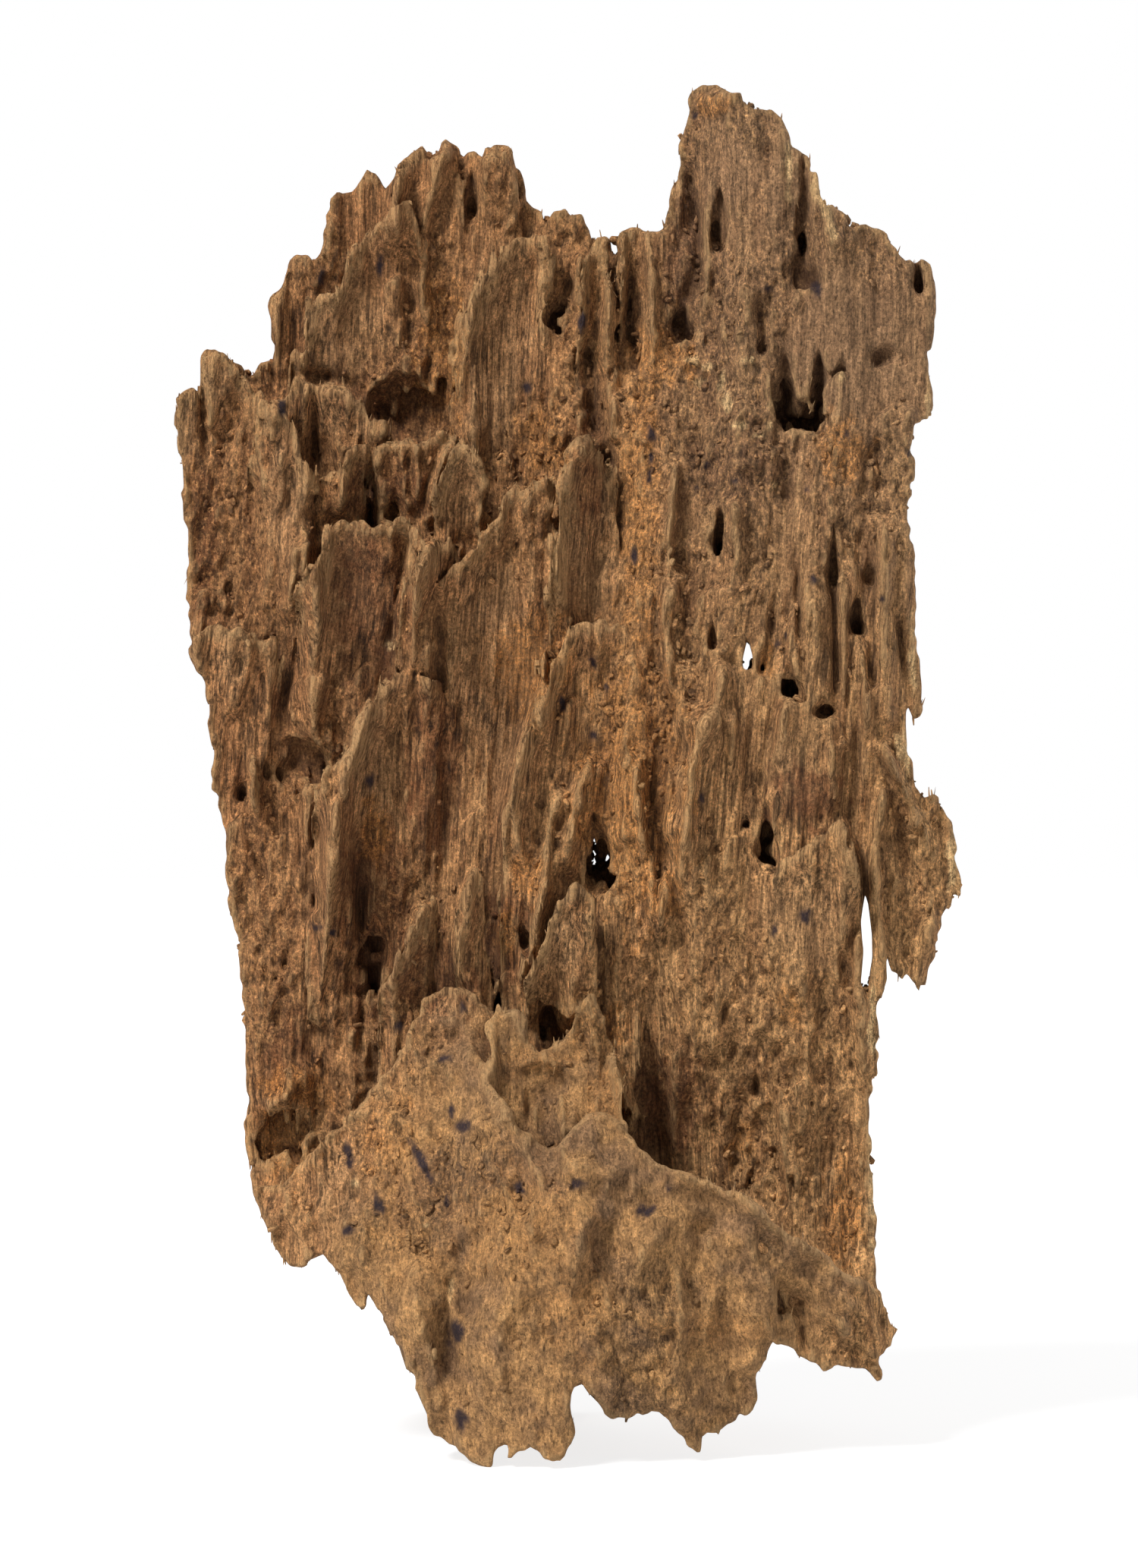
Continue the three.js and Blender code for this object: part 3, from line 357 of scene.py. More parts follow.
# Ridges and grooves of the front: height, less than zero for a groove, how far it spreads to its left and to
# its right, and its line from top to bottom.
RIDGES = (
    (3.2, 3, 4, ((-31, 198), (-30.6, 166))),
    (2.5, 2, 6, ((-4.5, 172), (-8, 160), (-11.5, 152), (-13, 143), (-14, 130))),
    (3.5, 3, 4, ((4.5, 151), (3, 144), (1.5, 136), (-0.5, 127))),
    (2.5, 3, 6, ((-2, 144), (-3.5, 135), (-5, 126), (-6, 118))),
    (3.5, 5, 3, ((15.5, 152), (14.5, 144), (16, 135), (18.5, 128), (20.5, 120), (20, 108))),
    (4, 7, 5, ((31, 161), (29, 154), (27, 149), (26, 143), (25.5, 136), (26.5, 128), (26, 120))),
    (2.2, 1.5, 5, ((21, 190), (21, 180), (21.5, 172), (23, 165), (25, 157))),
    (2, 3, 4, ((34, 171), (33.5, 163), (35, 157), (35.5, 148))),
    (-2.2, 1.5, 2, ((44.6, 184), (44.8, 176), (45.4, 168))),
    (-1.8, 1.2, 1.6, ((50, 197), (50.2, 185), (51, 172), (51.5, 166))),
    (-2.2, 1.2, 1.6, ((58, 192), (58.2, 182), (58.6, 172), (58.8, 160))),
    (1.8, 2, 5, ((60, 192), (60.4, 178), (60.6, 166), (61, 154))),
    (3, 2, 7, ((48, 163), (46, 156), (44.6, 149), (44, 140), (43.6, 134))),
    (1.8, 3, 3, ((56, 160), (57, 153), (58, 146), (59, 138))),
    (3.4, 1.6, 1.6, ((68.6, 154), (71, 149), (73, 145), (75, 141), (76.2, 136))),
    (1.8, 2, 3, ((69, 204), (69, 190), (69.2, 176), (69.6, 160))),
    (-2, 1, 2.4, ((71, 184), (72.3, 178), (73.3, 172), (74, 164))),
    (2, 8, 1.6, ((60, 137), (62.4, 132), (63, 126), (63.4, 118), (63.4, 108))),
    (3, 2, 2, ((69, 144), (68, 136), (67.2, 126), (68, 115), (69.4, 106))),
    (2.4, 5, 3, ((76, 141), (79, 133), (80.4, 125), (80, 116), (77.6, 104))),
    (-3, 1, 1, ((60, 110), (60.4, 103))),
    (3, 4, 5, ((-54.6, 201), (-54.6, 190), (-54.8, 180), (-55.5, 170), (-57, 163))),
    (3, 1.6, 3.4, ((-31, 198), (-33.4, 190), (-34, 180), (-34, 171))),
    (-2.2, 1.4, 5, ((-30.6, 190), (-30.4, 178), (-29.4, 171), (-26, 163), (-21, 155))),
    (3.4, 2.4, 5, ((-44, 162), (-47, 152), (-50.6, 143), (-52.4, 133), (-52.6, 123), (-54.6, 115))),
    (-3.4, 4, 5, ((-44, 138), (-46, 126), (-46, 116), (-44, 106))),
    (-1.6, 1, 2, ((-40.6, 152), (-38.6, 144), (-36, 137), (-34, 131))),
    (2.6, 3, 5, ((-31, 119), (-34, 114), (-37, 108), (-39, 101))),
    (2.6, 2, 3, ((-21, 126), (-23, 119), (-24, 111), (-24.2, 103))),
    (3.4, 1.6, 7, ((-5, 123), (-7, 116), (-9, 109), (-10.4, 103))),
    (2.6, 4, 4, ((-74, 181), (-74.6, 172), (-74, 162))),
    (-2.4, 2, 2, ((-68.6, 177), (-67.6, 171), (-67, 165))),
    (2.2, 2, 2.4, ((-69, 151), (-69.6, 143), (-68.4, 137))),
    (1.6, 2, 2, ((-57, 142), (-57.4, 136), (-57, 130))),
    (2.2, 3, 4, ((-78, 239), (-77, 231), (-77.6, 224))),
    (-2, 1, 1.6, ((-80.8, 232), (-80.6, 226), (-79.8, 218))),
    (4, 6, 6, ((-64.6, 229), (-63.4, 219), (-62, 208), (-60.6, 196), (-61, 184))),
    (-3, 3, 3, ((-36.6, 262), (-35.6, 252), (-35, 242))),
    (-3, 2.4, 2.4, ((-59, 235.5), (-52, 234.5), (-45, 231.5))),
    (2, 2, 3, ((-32.6, 264), (-32, 254), (-31.4, 246))),
    (2.6, 4, 5, ((-34.4, 239), (-36.4, 233), (-37, 226))),
    (2.4, 3, 3, ((-27, 286), (-29, 278), (-31.4, 270), (-33, 262))),
    (2.4, 3, 3, ((-37, 279), (-37.4, 271), (-38.6, 263))),
    (2.4, 4, 4, ((-16, 285), (-15.4, 276), (-15, 268))),
    (-2.4, 2, 2, ((-56.6, 231), (-55.8, 223), (-55, 214))),
    (2.4, 4, 6, ((-51, 232), (-50.6, 225), (-49.6, 217))),
    (-2.4, 1.6, 3, ((-43.6, 217), (-43.2, 211), (-42.4, 205))),
    (-4, 3, 1, ((-35, 201), (-37, 192), (-38.8, 182), (-39.4, 168))),
    (1.6, 2, 2, ((-36.4, 221), (-36.2, 214), (-35.6, 207))),
    (2.4, 3, 3, ((-49, 219), (-49.4, 212), (-50, 204))),
    (-1.4, 3, 3, ((-39.6, 219), (-39.6, 212), (-39, 206))),
    (1.8, 2, 3, ((-33, 221), (-33, 213), (-33.6, 206))),
    (3, 1.6, 5, ((-26, 220), (-29, 212), (-31, 204))),
    (2.6, 3, 5, ((-14, 265), (-19, 254), (-22, 244), (-22.6, 230), (-20, 216))),
    (-1.6, 2, 3, ((-7, 262), (-9, 250), (-11, 238))),
    (2.4, 2, 3, ((2.6, 262), (2.4, 254), (2.6, 246), (0, 238))),
    (-4, 4, 2.4, ((4, 243), (5, 235), (5.6, 228), (6, 222))),
    (3, 2, 2, ((8.6, 258), (8.8, 246), (9, 234), (9.6, 222))),
    (2, 1.6, 1.6, ((11.6, 266), (11.6, 256), (11.8, 246))),
    (2.2, 2, 2, ((17.6, 266), (18, 256), (18.4, 246), (18.6, 236))),
    (-2, 1.4, 1.4, ((14.6, 245), (15, 236), (15.6, 227))),
    (3, 3, 5, ((5, 221), (0, 214), (-2.4, 204), (-2.6, 192), (-2, 182))),
    (-6, 6, 4, ((8.6, 219), (8.4, 206), (7, 194), (5.4, 184))),
    (-1.8, 5, 10, ((42, 148), (45, 140), (50, 131))),
    (2.4, 2, 3, ((30.4, 281), (30.6, 270), (30.6, 258), (29.6, 248))),
    (-4, 6.5, 1.6, ((27, 281), (28, 268), (28.4, 258), (28, 246))),
    (2, 4, 3, ((47, 288), (47.4, 278), (47, 268))),
    (-2.6, 1.4, 1.2, ((51.6, 283), (52, 272), (53, 262), (54.6, 254))),
    (2, 2, 3, ((56, 275), (57, 268), (58, 260))),
    (-2.4, 2.4, 2.4, ((41, 251), (42.4, 246), (43, 241))),
    (1.6, 5, 5, ((37, 256), (37, 246), (38, 236))),
    (-2, 3, 3, ((67.6, 222), (67.4, 214), (67, 205))),
    (-2.2, 3, 3, ((47, 219), (47, 212), (47.4, 205))),
    (-1.6, 3, 3, ((28, 237), (28.6, 231))),
    (-1.6, 2, 2, ((63, 201), (63.2, 194))),
    (2, 3, 3, ((24, 216), (22.6, 205), (21.6, 196))),
    (1.8, 2, 3, ((36, 208), (36.4, 198), (36, 188))),
    (1.6, 3, 3, ((53.6, 197), (53.8, 186), (54.4, 174))),
    (1.4, 2, 2, ((64.6, 176), (64.8, 166), (66, 156))),
    (2, 4, 4, ((-58, 83), (-61, 77), (-66, 74))),
    (-2.6, 2, 2, ((-45.6, 98), (-45.4, 86))),
    (-1.6, 1.4, 1.4, ((-42.4, 98), (-42, 90))),
    (2.4, 1.6, 5, ((46, 77), (46.6, 68), (48, 59), (50, 48))),
    (-2.4, 1.2, 1.2, ((41.2, 83), (41, 76))),
    (3, 3, 1.4, ((9.6, 85), (11.6, 80), (12.6, 75), (14, 69))),
    (1.8, 3, 2, ((64.4, 100), (64.4, 90), (65, 80))),
    (2.4, 3, 3, ((-1.6, 77), (-1, 71), (-1, 66))),
    (0.8, 2, 2, ((-18, 84), (-12, 83), (-6, 84.6), (2, 81))),
    (-1.6, 2.5, 3, ((71.6, 143), (72.6, 134), (73.4, 126))),
    (1.6, 3, 3, ((5, 97), (5, 90), (4, 84))),
    (-1.6, 2, 2, ((9, 92), (9.4, 86), (8, 80))),
)

# Folds of the skin, written as the ridges are.
FOLDS = (
    (2.6, 6, 3, ((-31, 101), (-41, 86), (-54, 68), (-59, 58))),
    (2.6, 8, 2, ((-24, 88), (-19, 83), (-15, 76), (-11.5, 68))),
    (1.6, 8, 8, ((5, 72), (4.6, 62), (4, 54))),
    (2.8, 8, 6, ((4.4, 53), (3, 46), (1.5, 38), (-1, 28))),
    (-3, 1.5, 3, ((45.6, 36), (48, 31.5), (50.8, 27.5), (52.6, 20))),
    (3, 3, 3, ((54, 38), (60, 33), (66, 26))),
    (2.4, 2, 2, ((58, 27), (64, 22), (69, 17))),
    (2.4, 5, 5, ((13, 66), (10, 60), (8, 55))),
    (2, 5, 4, ((21, 49), (15, 40), (13, 30), (16, 20))),
    (3, 3, 6, ((24, 59), (36, 55), (45, 48), (54, 43), (60, 37), (69, 30))),
    (2.6, 4, 4, ((50, 44), (46, 38), (45, 33))),
    (2.2, 4, 4, ((52, 30), (60, 27), (68, 22))),
    (2.4, 5, 4, ((-10, 38), (-14, 27), (-17, 14))),
    (2.2, 4, 6, ((-32, 40), (-34, 30), (-33, 18))),
    (1.8, 3, 3, ((-44, 52), (-46, 40), (-42, 28))),
    (1.6, 3, 3, ((-6, 60), (-8, 50), (-12, 44))),
    (1.6, 3, 3, ((30, 46), (33, 36), (30, 24), (32, 14))),
    (1.6, 2, 3, ((24, 40), (25, 28), (23, 12))),
    (1.6, 3, 3, ((8, 34), (6, 22), (8, 10))),
    (-2.6, 5, 4, ((-20, 47), (-22, 32), (-28, 12))),
    (-2.6, 4, 4, ((8, 50), (7, 42), (5, 34))),
    (-2.4, 5, 5, ((15, 53), (18, 50))),
    (-2, 5, 5, ((30, 50), (28, 38), (30, 26))),
    (-2.4, 3, 4, ((44, 40), (48, 33), (55, 28))),
    (-1.6, 4, 4, ((-38, 60), (-36, 50), (-34, 42))),
)

# Spots, each across, up, half width, half height and, if it leans, lean: resin, pale crusts together with
# painted rim light, and golden wood.
RESIN = (
    (-32.5, 62, 1.3, 4.6, -0.45), (-48.5, 64, 0.9, 3.6), (-42, 52, 1.3, 2.4, -0.3), (-27, 53, 0.6, 1.3),
    (-11, 56, 1.1, 1.8), (-24, 61, 0.8, 1.2, -0.4), (-23.5, 96, 0.7, 1.3), (-27.4, 84.6, 1.6, 1, 0.3),
    (-23, 70, 1.6, 1.4), (-26, 73, 0.7, 1.2), (-49, 47, 1.6, 1.2), (-25, 24, 1.8, 3), (-24, 5, 1.4, 3),
    (2, 57, 2, 1.6), (17, 51, 2.2, 1.4), (21.6, 56, 0.9, 0.6), (-41.4, 259.6, 0.9, 2.6),
    (-54, 256, 0.8, 2, 0.2), (2.9, 247, 0.9, 2.6, 0.15), (4.2, 251, 0.5, 0.8), (18.2, 222, 0.9, 1.6, -0.3),
    (18, 217, 0.6, 1.2), (17.6, 213, 0.6, 1.6, 0.2), (14.4, 195, 0.8, 1.6), (28.4, 210.5, 0.7, 0.7),
    (29.2, 142.4, 0.7, 1.4), (52, 116, 1.4, 2.2, -0.2), (45.5, 113, 0.8, 1.2), (-43.6, 146, 1.3, 2.2, 0.2),
    (5.4, 172, 0.8, 1.6, -0.2), (8.4, 166.8, 0.7, 0.8), (5.6, 156, 1, 1.4, -0.4),
    (-1.4, 163, 0.7, 1.4, -0.3), (-37.4, 92, 0.8, 1.3), (-56, 113.6, 1.6, 0.8), (-52, 112.6, 0.7, 0.8),
    (27.6, 291.6, 1, 0.8), (47.6, 178, 0.6, 1.2), (68.6, 185.8, 0.7, 0.6), (74.4, 218, 0.8, 1),
    (46, 176, 0.8, 1), (53.6, 190, 1, 1), (60.8, 222, 0.8, 0.8), (52, 210, 0.9, 0.8),
    (43.4, 253.6, 0.8, 0.8), (58.4, 247.6, 0.5, 0.5), (54, 254, 1.2, 2.2, -0.2), (-63, 228, 0.8, 1.6),
    (-9, 232, 1, 1.6), (36.4, 212, 0.6, 0.6), (30, 215, 0.6, 0.9, 0.3),
)
# Pale crusts on the front; the thin spots along the right edge paint the light that rims that edge.
CRUST_AND_RIM_LIGHT_SPOTS = (
    (27, 238.4, 1.5, 0.6), (30.5, 236.8, 1.4, 0.6), (33.4, 233.6, 0.6, 2, 0.1), (34.8, 229, 0.7, 2.2),
    (37.4, 224, 1.7, 0.6), (41, 221.8, 1.9, 0.5), (44.2, 224, 0.7, 1.4), (44.4, 228.6, 1.3, 2),
    (28.8, 233.4, 1, 0.7), (39, 238, 1.2, 0.5), (59.8, 235, 0.6, 1), (45, 211, 0.7, 0.9),
    (72.6, 153, 0.7, 3.4, -0.12), (74.3, 150, 0.9, 5, -0.1), (84.6, 132, 1.1, 9, 0.1), (67, 60, 0.8, 22),
    (66.8, 92, 0.8, 9), (75.4, 172, 0.8, 9), (78.6, 226, 0.7, 6), (-39, 176, 1.1, 0.9), (-47, 57, 1.1, 0.8),
    (-31.6, 47.6, 0.8, 0.6), (48, 280, 0.9, 6), (55.6, 273, 1.3, 8, -0.33), (-26, 34, 0.7, 3),
)
ORANGE = (
    (-63, 67, 8, 9), (-60, 78, 8, 5), (61, 50, 4.5, 12), (22, 121, 4, 6), (-9, 124, 4, 5),
    (-14, 113, 2.4, 5), (48.6, 96, 2.4, 5), (43, 172, 2.2, 4), (38.4, 66, 3, 5), (5, 92, 8, 6),
    (-10, 84, 9, 4), (8, 76, 5, 6), (15, 205, 5, 34), (20, 238, 8, 6), (-6, 220, 6, 8), (32, 294, 4, 3),
    (-43, 136, 3, 8), (60, 218, 6, 8), (31, 25, 12, 4), (2, 30, 8, 12), (-13, 50, 16, 14),
    (-36, 56, 10, 18), (-28, 240, 5, 16), (4, 136, 4, 5), (14, 146, 12, 30), (-8, 172, 9, 12),
)
# Where the wood crumbles, where it is darkened by stain and by painted shade, and where it is worn smooth, as
# spots.
CRUMBLY = (
    (38, 95, 24, 34), (0, 90, 12, 10), (32, 232, 18, 18), (60, 215, 18, 22), (-76, 200, 9, 34),
    (0, 128, 18, 10), (-70, 110, 12, 30), (18, 165, 14, 18), (-62, 150, 14, 12), (-30, 222, 14, 4),
    (-8, 222, 8, 10), (15, 200, 6, 40), (28, 294, 8, 6), (46, 264, 16, 24), (35, 282, 10, 14),
    (64, 248, 14, 16), (-52, 258, 6, 10), (-30, 246, 6, 16),
)
STAIN_AND_SHADE_SPOTS = (
    (-43, 114, 8, 24), (-13, 112, 5, 14), (-32, 104, 12, 10), (-62, 84, 7, 14), (4, 214, 5, 12),
    (-36, 231, 12, 8), (-44, 184, 8, 22), (25.4, 262, 3.6, 18, 0.1), (35, 214, 12, 6), (-40, 210, 10, 7),
    (23, 76, 8, 12), (-80, 200, 3, 18), (52, 142, 9, 8), (-30, 146, 6, 20),
)
SMOOTH = (
    (-47, 185, 9, 19), (5, 202, 7, 20), (-2, 113, 5, 11), (-16, 240, 9, 24, 0.1), (-16, 172, 10, 22),
    (-44, 148, 6, 14, -0.1), (-62, 208, 5, 18), (-24, 212, 5, 10), (-48, 226, 7, 6), (-84, 225, 3, 8),
    (-77, 233, 4, 6), (-74, 173, 4, 8), (-48, 244, 10, 14), (47, 274, 5, 16), (35, 282, 8, 12),
    (62, 240, 14, 20), (50, 148, 7, 10), (52, 116, 10, 14), (47, 27, 4, 6), (-50, 56, 7, 12),
    (-38, 34, 8, 8), (-25, 95, 6, 5), (30, 50, 16, 6), (15, 55, 6, 6), (36, 22, 6, 8), (-6, 13, 6, 10),
)

# Colours as a screen shows them, 0 to 255.
WOOD_BROWNS = ((165, 118, 75), (204, 154, 101))
SKIN_BROWNS = ((169, 126, 81), (186, 139, 88))
SKIN_CLOUD = (146, 110, 76)
# Redder wood, a little darker: a tone of the wood, and in part painted shade of the upper left.
REDDER_AND_SHADED = (160, 106, 66)
GREYISH = (174, 132, 90)
# Stain, and painted shade over pockets and shaded faces.
STAIN_AND_PAINTED_SHADE = (118, 72, 42)
DULL = (138, 107, 80)
GOLDEN = (196, 130, 66)
CRUMB = (198, 148, 90)
# Pale crust, and painted rim light along the right edge.
PALE_CRUST_AND_RIM_LIGHT = (232, 192, 136)
# Pale wear and painted highlight on crests.
CREST_WEAR_AND_HIGHLIGHT = (208, 166, 114)
# Painted shade for creases and pockets.
PAINTED_SHADE_BROWN = (72, 42, 25)
RESIN_BLACK = (60, 46, 48)

# Light: how bright the world and the floor are, and where the two lamps stand.
WHITE = (1, 1, 1, 1)
WORLD_STRENGTH = 0.46
FLOOR_REACH = 1500
FLOOR_GREY = 0.22
FLOOR_GLOW = 0.8
LAMP_TARGET = (0, 0, 150)
KEY_PLACE = (-900, -1000, 1600)
KEY_STRENGTH = 4.6
KEY_ANGLE = math.radians(16)
RIM_PLACE = (1100, 500, 500)
RIM_POWER = 7
RIM_SIZE = 600


def smooth(share):
    """Eases a share at both ends."""
    return share * share * (3 - 2 * share)


def ramp(value, length=1):
    """0 below zero, 1 from the length on, and even between them."""
    return np.clip(value / length, 0, 1)


def hashed(cells, seed):
    """A number from -1 to 1 for each cell, the same one each time."""
    number = np.full(cells[0].shape, seed * 974634777, dtype=np.int64)
    for cell, factor in zip(cells, (374761393, 668265263, 2147483647)):
        number += cell * factor
    number = (number ^ (number >> 13)) & 0x7FFFFFFF
    number = (number * 1274126177) & 0x7FFFFFFF
    number ^= number >> 16
    return ((number & 0xFFFF) / 32767.5 - 1).astype(np.float32)


def noise(seed, *places):
    """Smooth noise from -1 to 1 with features one unit apart."""
    places = np.broadcast_arrays(*places)
    floors = [np.floor(place) for place in places]
    shares = [smooth((place - low).astype(np.float32)) for place, low in zip(places, floors)]
    lows = [low.astype(np.int64) for low in floors]
    total = np.zeros(places[0].shape, dtype=np.float32)
    for corner in itertools.product((0, 1), repeat=len(places)):
        weight = np.ones_like(total)
        for side, share in zip(corner, shares):
            weight *= share if side else 1 - share
        total += weight * hashed([low + side for low, side in zip(lows, corner)], seed)
    return total


def ribbed(seed, *places):
    """Rounded ribs with sharp grooves between them, from -1 to 1."""
    return 1 - 2 * np.abs(noise(seed, *places)) ** 0.8


# Layers of noise: strength, kind, what it adds to the seed, and how wide and how high its features are.
EDGE_LAYERS = ((0.5, noise, 5, 1.7, 1.9), (0.35, noise, 6, 0.9, 5))
PATCH_LAYERS = ((1, noise, 11, 16, 30), (0.6, noise, 12, 6, 12))
WORN_LAYERS = ((0.5, noise, 13, 2.4, 9), (0.25, noise, 14, 1.2, 4))
FIBRE_LAYERS = ((0.9, noise, 0, 4.6, 42), (0.55, ribbed, 1, 2.6, 30), (0.4, ribbed, 2, 1.25, 14))
CRUMB_LAYERS = (
    (0.55, noise, 3, 4, 6), (0.4, noise, 8, 2.2, 3), (0.5, ribbed, 4, 1.9, 3.2), (0.4, noise, 9, 1.3, 2.2),
)
TOOTH_LAYERS = ((1.2, noise, 6, 1.3, 6), (0.7, noise, 7, 3, 4))
SKIN_LAYERS = ((0.6, noise, 3, 2.6, 3.2), (0.4, ribbed, 4, 1.5, 2.2))
SPOT_LAYERS = ((0.45, noise, 61, 1.6, 2.4), (0.3, noise, 62, 0.8, 1.2))


def layered(layers, u, v, seed=0, start=0):
    """The start and layers of noise on top of it."""
    total = start
    for strength, kind, more, wide, high in layers:
        total = total + strength * kind(seed + more, u / wide, v / high)
    return total


def volume_noise(seed, axes, pitches):
    """The same kind of noise on a whole grid, spread along one axis after the other."""
    spans = [int((axis[-1] - axis[0]) / pitch) + 3 for axis, pitch in zip(axes, pitches)]
    values = np.random.default_rng(seed).uniform(-1, 1, spans).astype(np.float32)
    for number, (axis, pitch) in enumerate(zip(axes, pitches)):
        place = (axis - axis[0]) / pitch
        low = np.floor(place).astype(int)
        shape = [1] * len(axes)
        shape[number] = -1
        share = smooth((place - low).astype(np.float32)).reshape(shape)
        values = np.take(values, low, number) * (1 - share) + np.take(values, low + 1, number) * share
    return values


def stretches(points):
    """Each stretch of a line: where it starts, and how far it goes across and up."""
    for (ax, ay), (bx, by) in itertools.pairwise(points):
        yield ax, ay, bx - ax, by - ay


def segment_distance(points, across, up):
    """Distance to a line."""
    nearest = np.full(across.shape, FAR * FAR, dtype=np.float32)
    for ax, ay, dx, dy in stretches(points):
        share = ramp((across - ax) * dx + (up - ay) * dy, dx * dx + dy * dy)
        nearest = np.minimum(nearest, (across - ax - share * dx) ** 2 + (up - ay - share * dy) ** 2)
    return np.sqrt(nearest)


def shape_distance(points, across, up):
    """Distance to a closed outline, less than zero inside it."""
    closed = (*points, points[0])
    inside = np.zeros(across.shape, dtype=bool)
    for (ax, ay), (bx, by) in itertools.pairwise(closed):
        if ay != by:
            crosses = (ay > up) != (by > up)
            inside ^= crosses & (across < ax + (up - ay) * (bx - ax) / (by - ay))
    distance = segment_distance(closed, across, up)
    return np.where(inside, -distance, distance)


def ridge(shape, across, up):
    """How far one ridge stands out, tapering to its ends."""
    height, left, right, points = shape
    nearest = np.full(across.shape, FAR * FAR, dtype=np.float32)
    side = np.zeros_like(nearest)
    along = np.zeros_like(nearest)
    length = 0
    for ax, ay, dx, dy in stretches(points):
        size = math.hypot(dx, dy)
        share = ((across - ax) * dx + (up - ay) * dy) / (size * size)
        held = ramp(share)
        distance = (across - ax - held * dx) ** 2 + (up - ay - held * dy) ** 2
        closer = distance < nearest
        nearest = np.where(closer, distance, nearest)
        side = np.where(closer, (across - ax) * dy - (up - ay) * dx, side)
        along = np.where(closer, length + share * size, along)
        length += size
    width = np.where(side < 0, right, left)
    fall = ramp(1 - np.sqrt(nearest) / (1.15 * width)) ** 1.3
    ends = ramp(along + 2, 5) * ramp((length - along) / (0.45 * length) + 0.35)
    return height * fall * ends


def flames(seed, across, up, width, length, height):
    """Small tongues in rows, each proud at its tip and sinking into the wood below it."""
    column = np.floor(across / width)
    highest = np.zeros(across.shape, dtype=np.float32)
    for step in (-1, 0, 1):
        place = column + step
        shift = hashed((place.astype(np.int64), np.zeros(place.shape, np.int64)), seed)
        row = np.floor(up / length + shift)
        for rise in (0, 1):
            cell = (place.astype(np.int64), (row + rise).astype(np.int64))
            middle = (place + 0.5 + 0.4 * hashed(cell, seed + 1)) * width
            tip = (row + rise - shift + 0.4 * hashed(cell, seed + 2)) * length
            half = width * (0.42 + 0.16 * hashed(cell, seed + 3))
            strength = height * (0.55 + 0.45 * hashed(cell, seed + 4))
            off = (across - middle) / half
            below = tip - up - 0.16 * length * off * off
            body = ramp(np.minimum((1 + off) / 0.45, (1 - off) / 1.55)) ** 1.2
            fade = ramp(1 - below / (0.9 * length))
            highest = np.maximum(highest, strength * body * fade * ramp(below, 1.2))
    return highest


def near_spots(spots, u, v, ragged):
    """1 inside the listed spots and 0 away from them, with a ragged border between."""
    strongest = np.zeros_like(u)
    for across, up, half_width, half_height, *lean in spots:
        off_u = (u - across - sum(lean) * (v - up)) / half_width
        off_v = (v - up) / half_height
        distance = np.sqrt(off_u * off_u + off_v * off_v) + ragged
        strongest = np.maximum(strongest, smooth(ramp(1.5 * (1.25 - distance))))
    return strongest


def softened(values, radius):
    """The values after a round blur."""
    reach = int(3 * radius)
    kernel = np.exp(-0.5 * (np.arange(-reach, reach + 1) / radius) ** 2)
    kernel /= kernel.sum()
    for axis in range(values.ndim):
        padding = [(0, 0)] * values.ndim
        padding[axis] = (reach, reach)
        padded = np.pad(values, padding, mode="edge")
        values = np.apply_along_axis(np.convolve, axis, padded, kernel, "valid")
    return values.astype(np.float32)


def box_mean(values, reach):
    """The mean over a box around each cell, reach cells to either side."""
    for axis, cells in enumerate(reach):
        padding = [(0, 0)] * values.ndim
        padding[axis] = (cells + 1, cells)
        sums = np.cumsum(np.pad(values, padding, mode="edge"), axis=axis, dtype=np.float64)
        width = 2 * cells + 1
        first = np.arange(values.shape[axis])
        inside = np.take(sums, first + width, axis) - np.take(sums, first, axis)
        values = (inside / width).astype(np.float32)
    return values


def joined(first, second, blend):
    """Smooth union of two fields, which are less than zero inside."""
    share = np.clip(blend - np.abs(first - second), 0, None) / blend
    return np.minimum(first, second) - share * share * blend / 4


def cut(first, second, blend):
    """What two fields have in common, with a rounded edge."""
    return -joined(-first, -second, blend)


def depth_map(table, rows, across, up, radius):
    """A table of depths over the front view, blurred."""
    wide = np.array([np.interp(across, ACROSS, row) for row in table])
    deep = np.array([np.interp(up, rows, column) for column in wide.T])
    return softened(deep.astype(np.float32), radius)


def on_line(points, u):
    """The height of a line from left to right at each place across."""
    return np.interp(u, *zip(*points))


def between(axis, low, high):
    """The part of an axis between two values."""
    return slice(*np.searchsorted(axis, (low, high)))


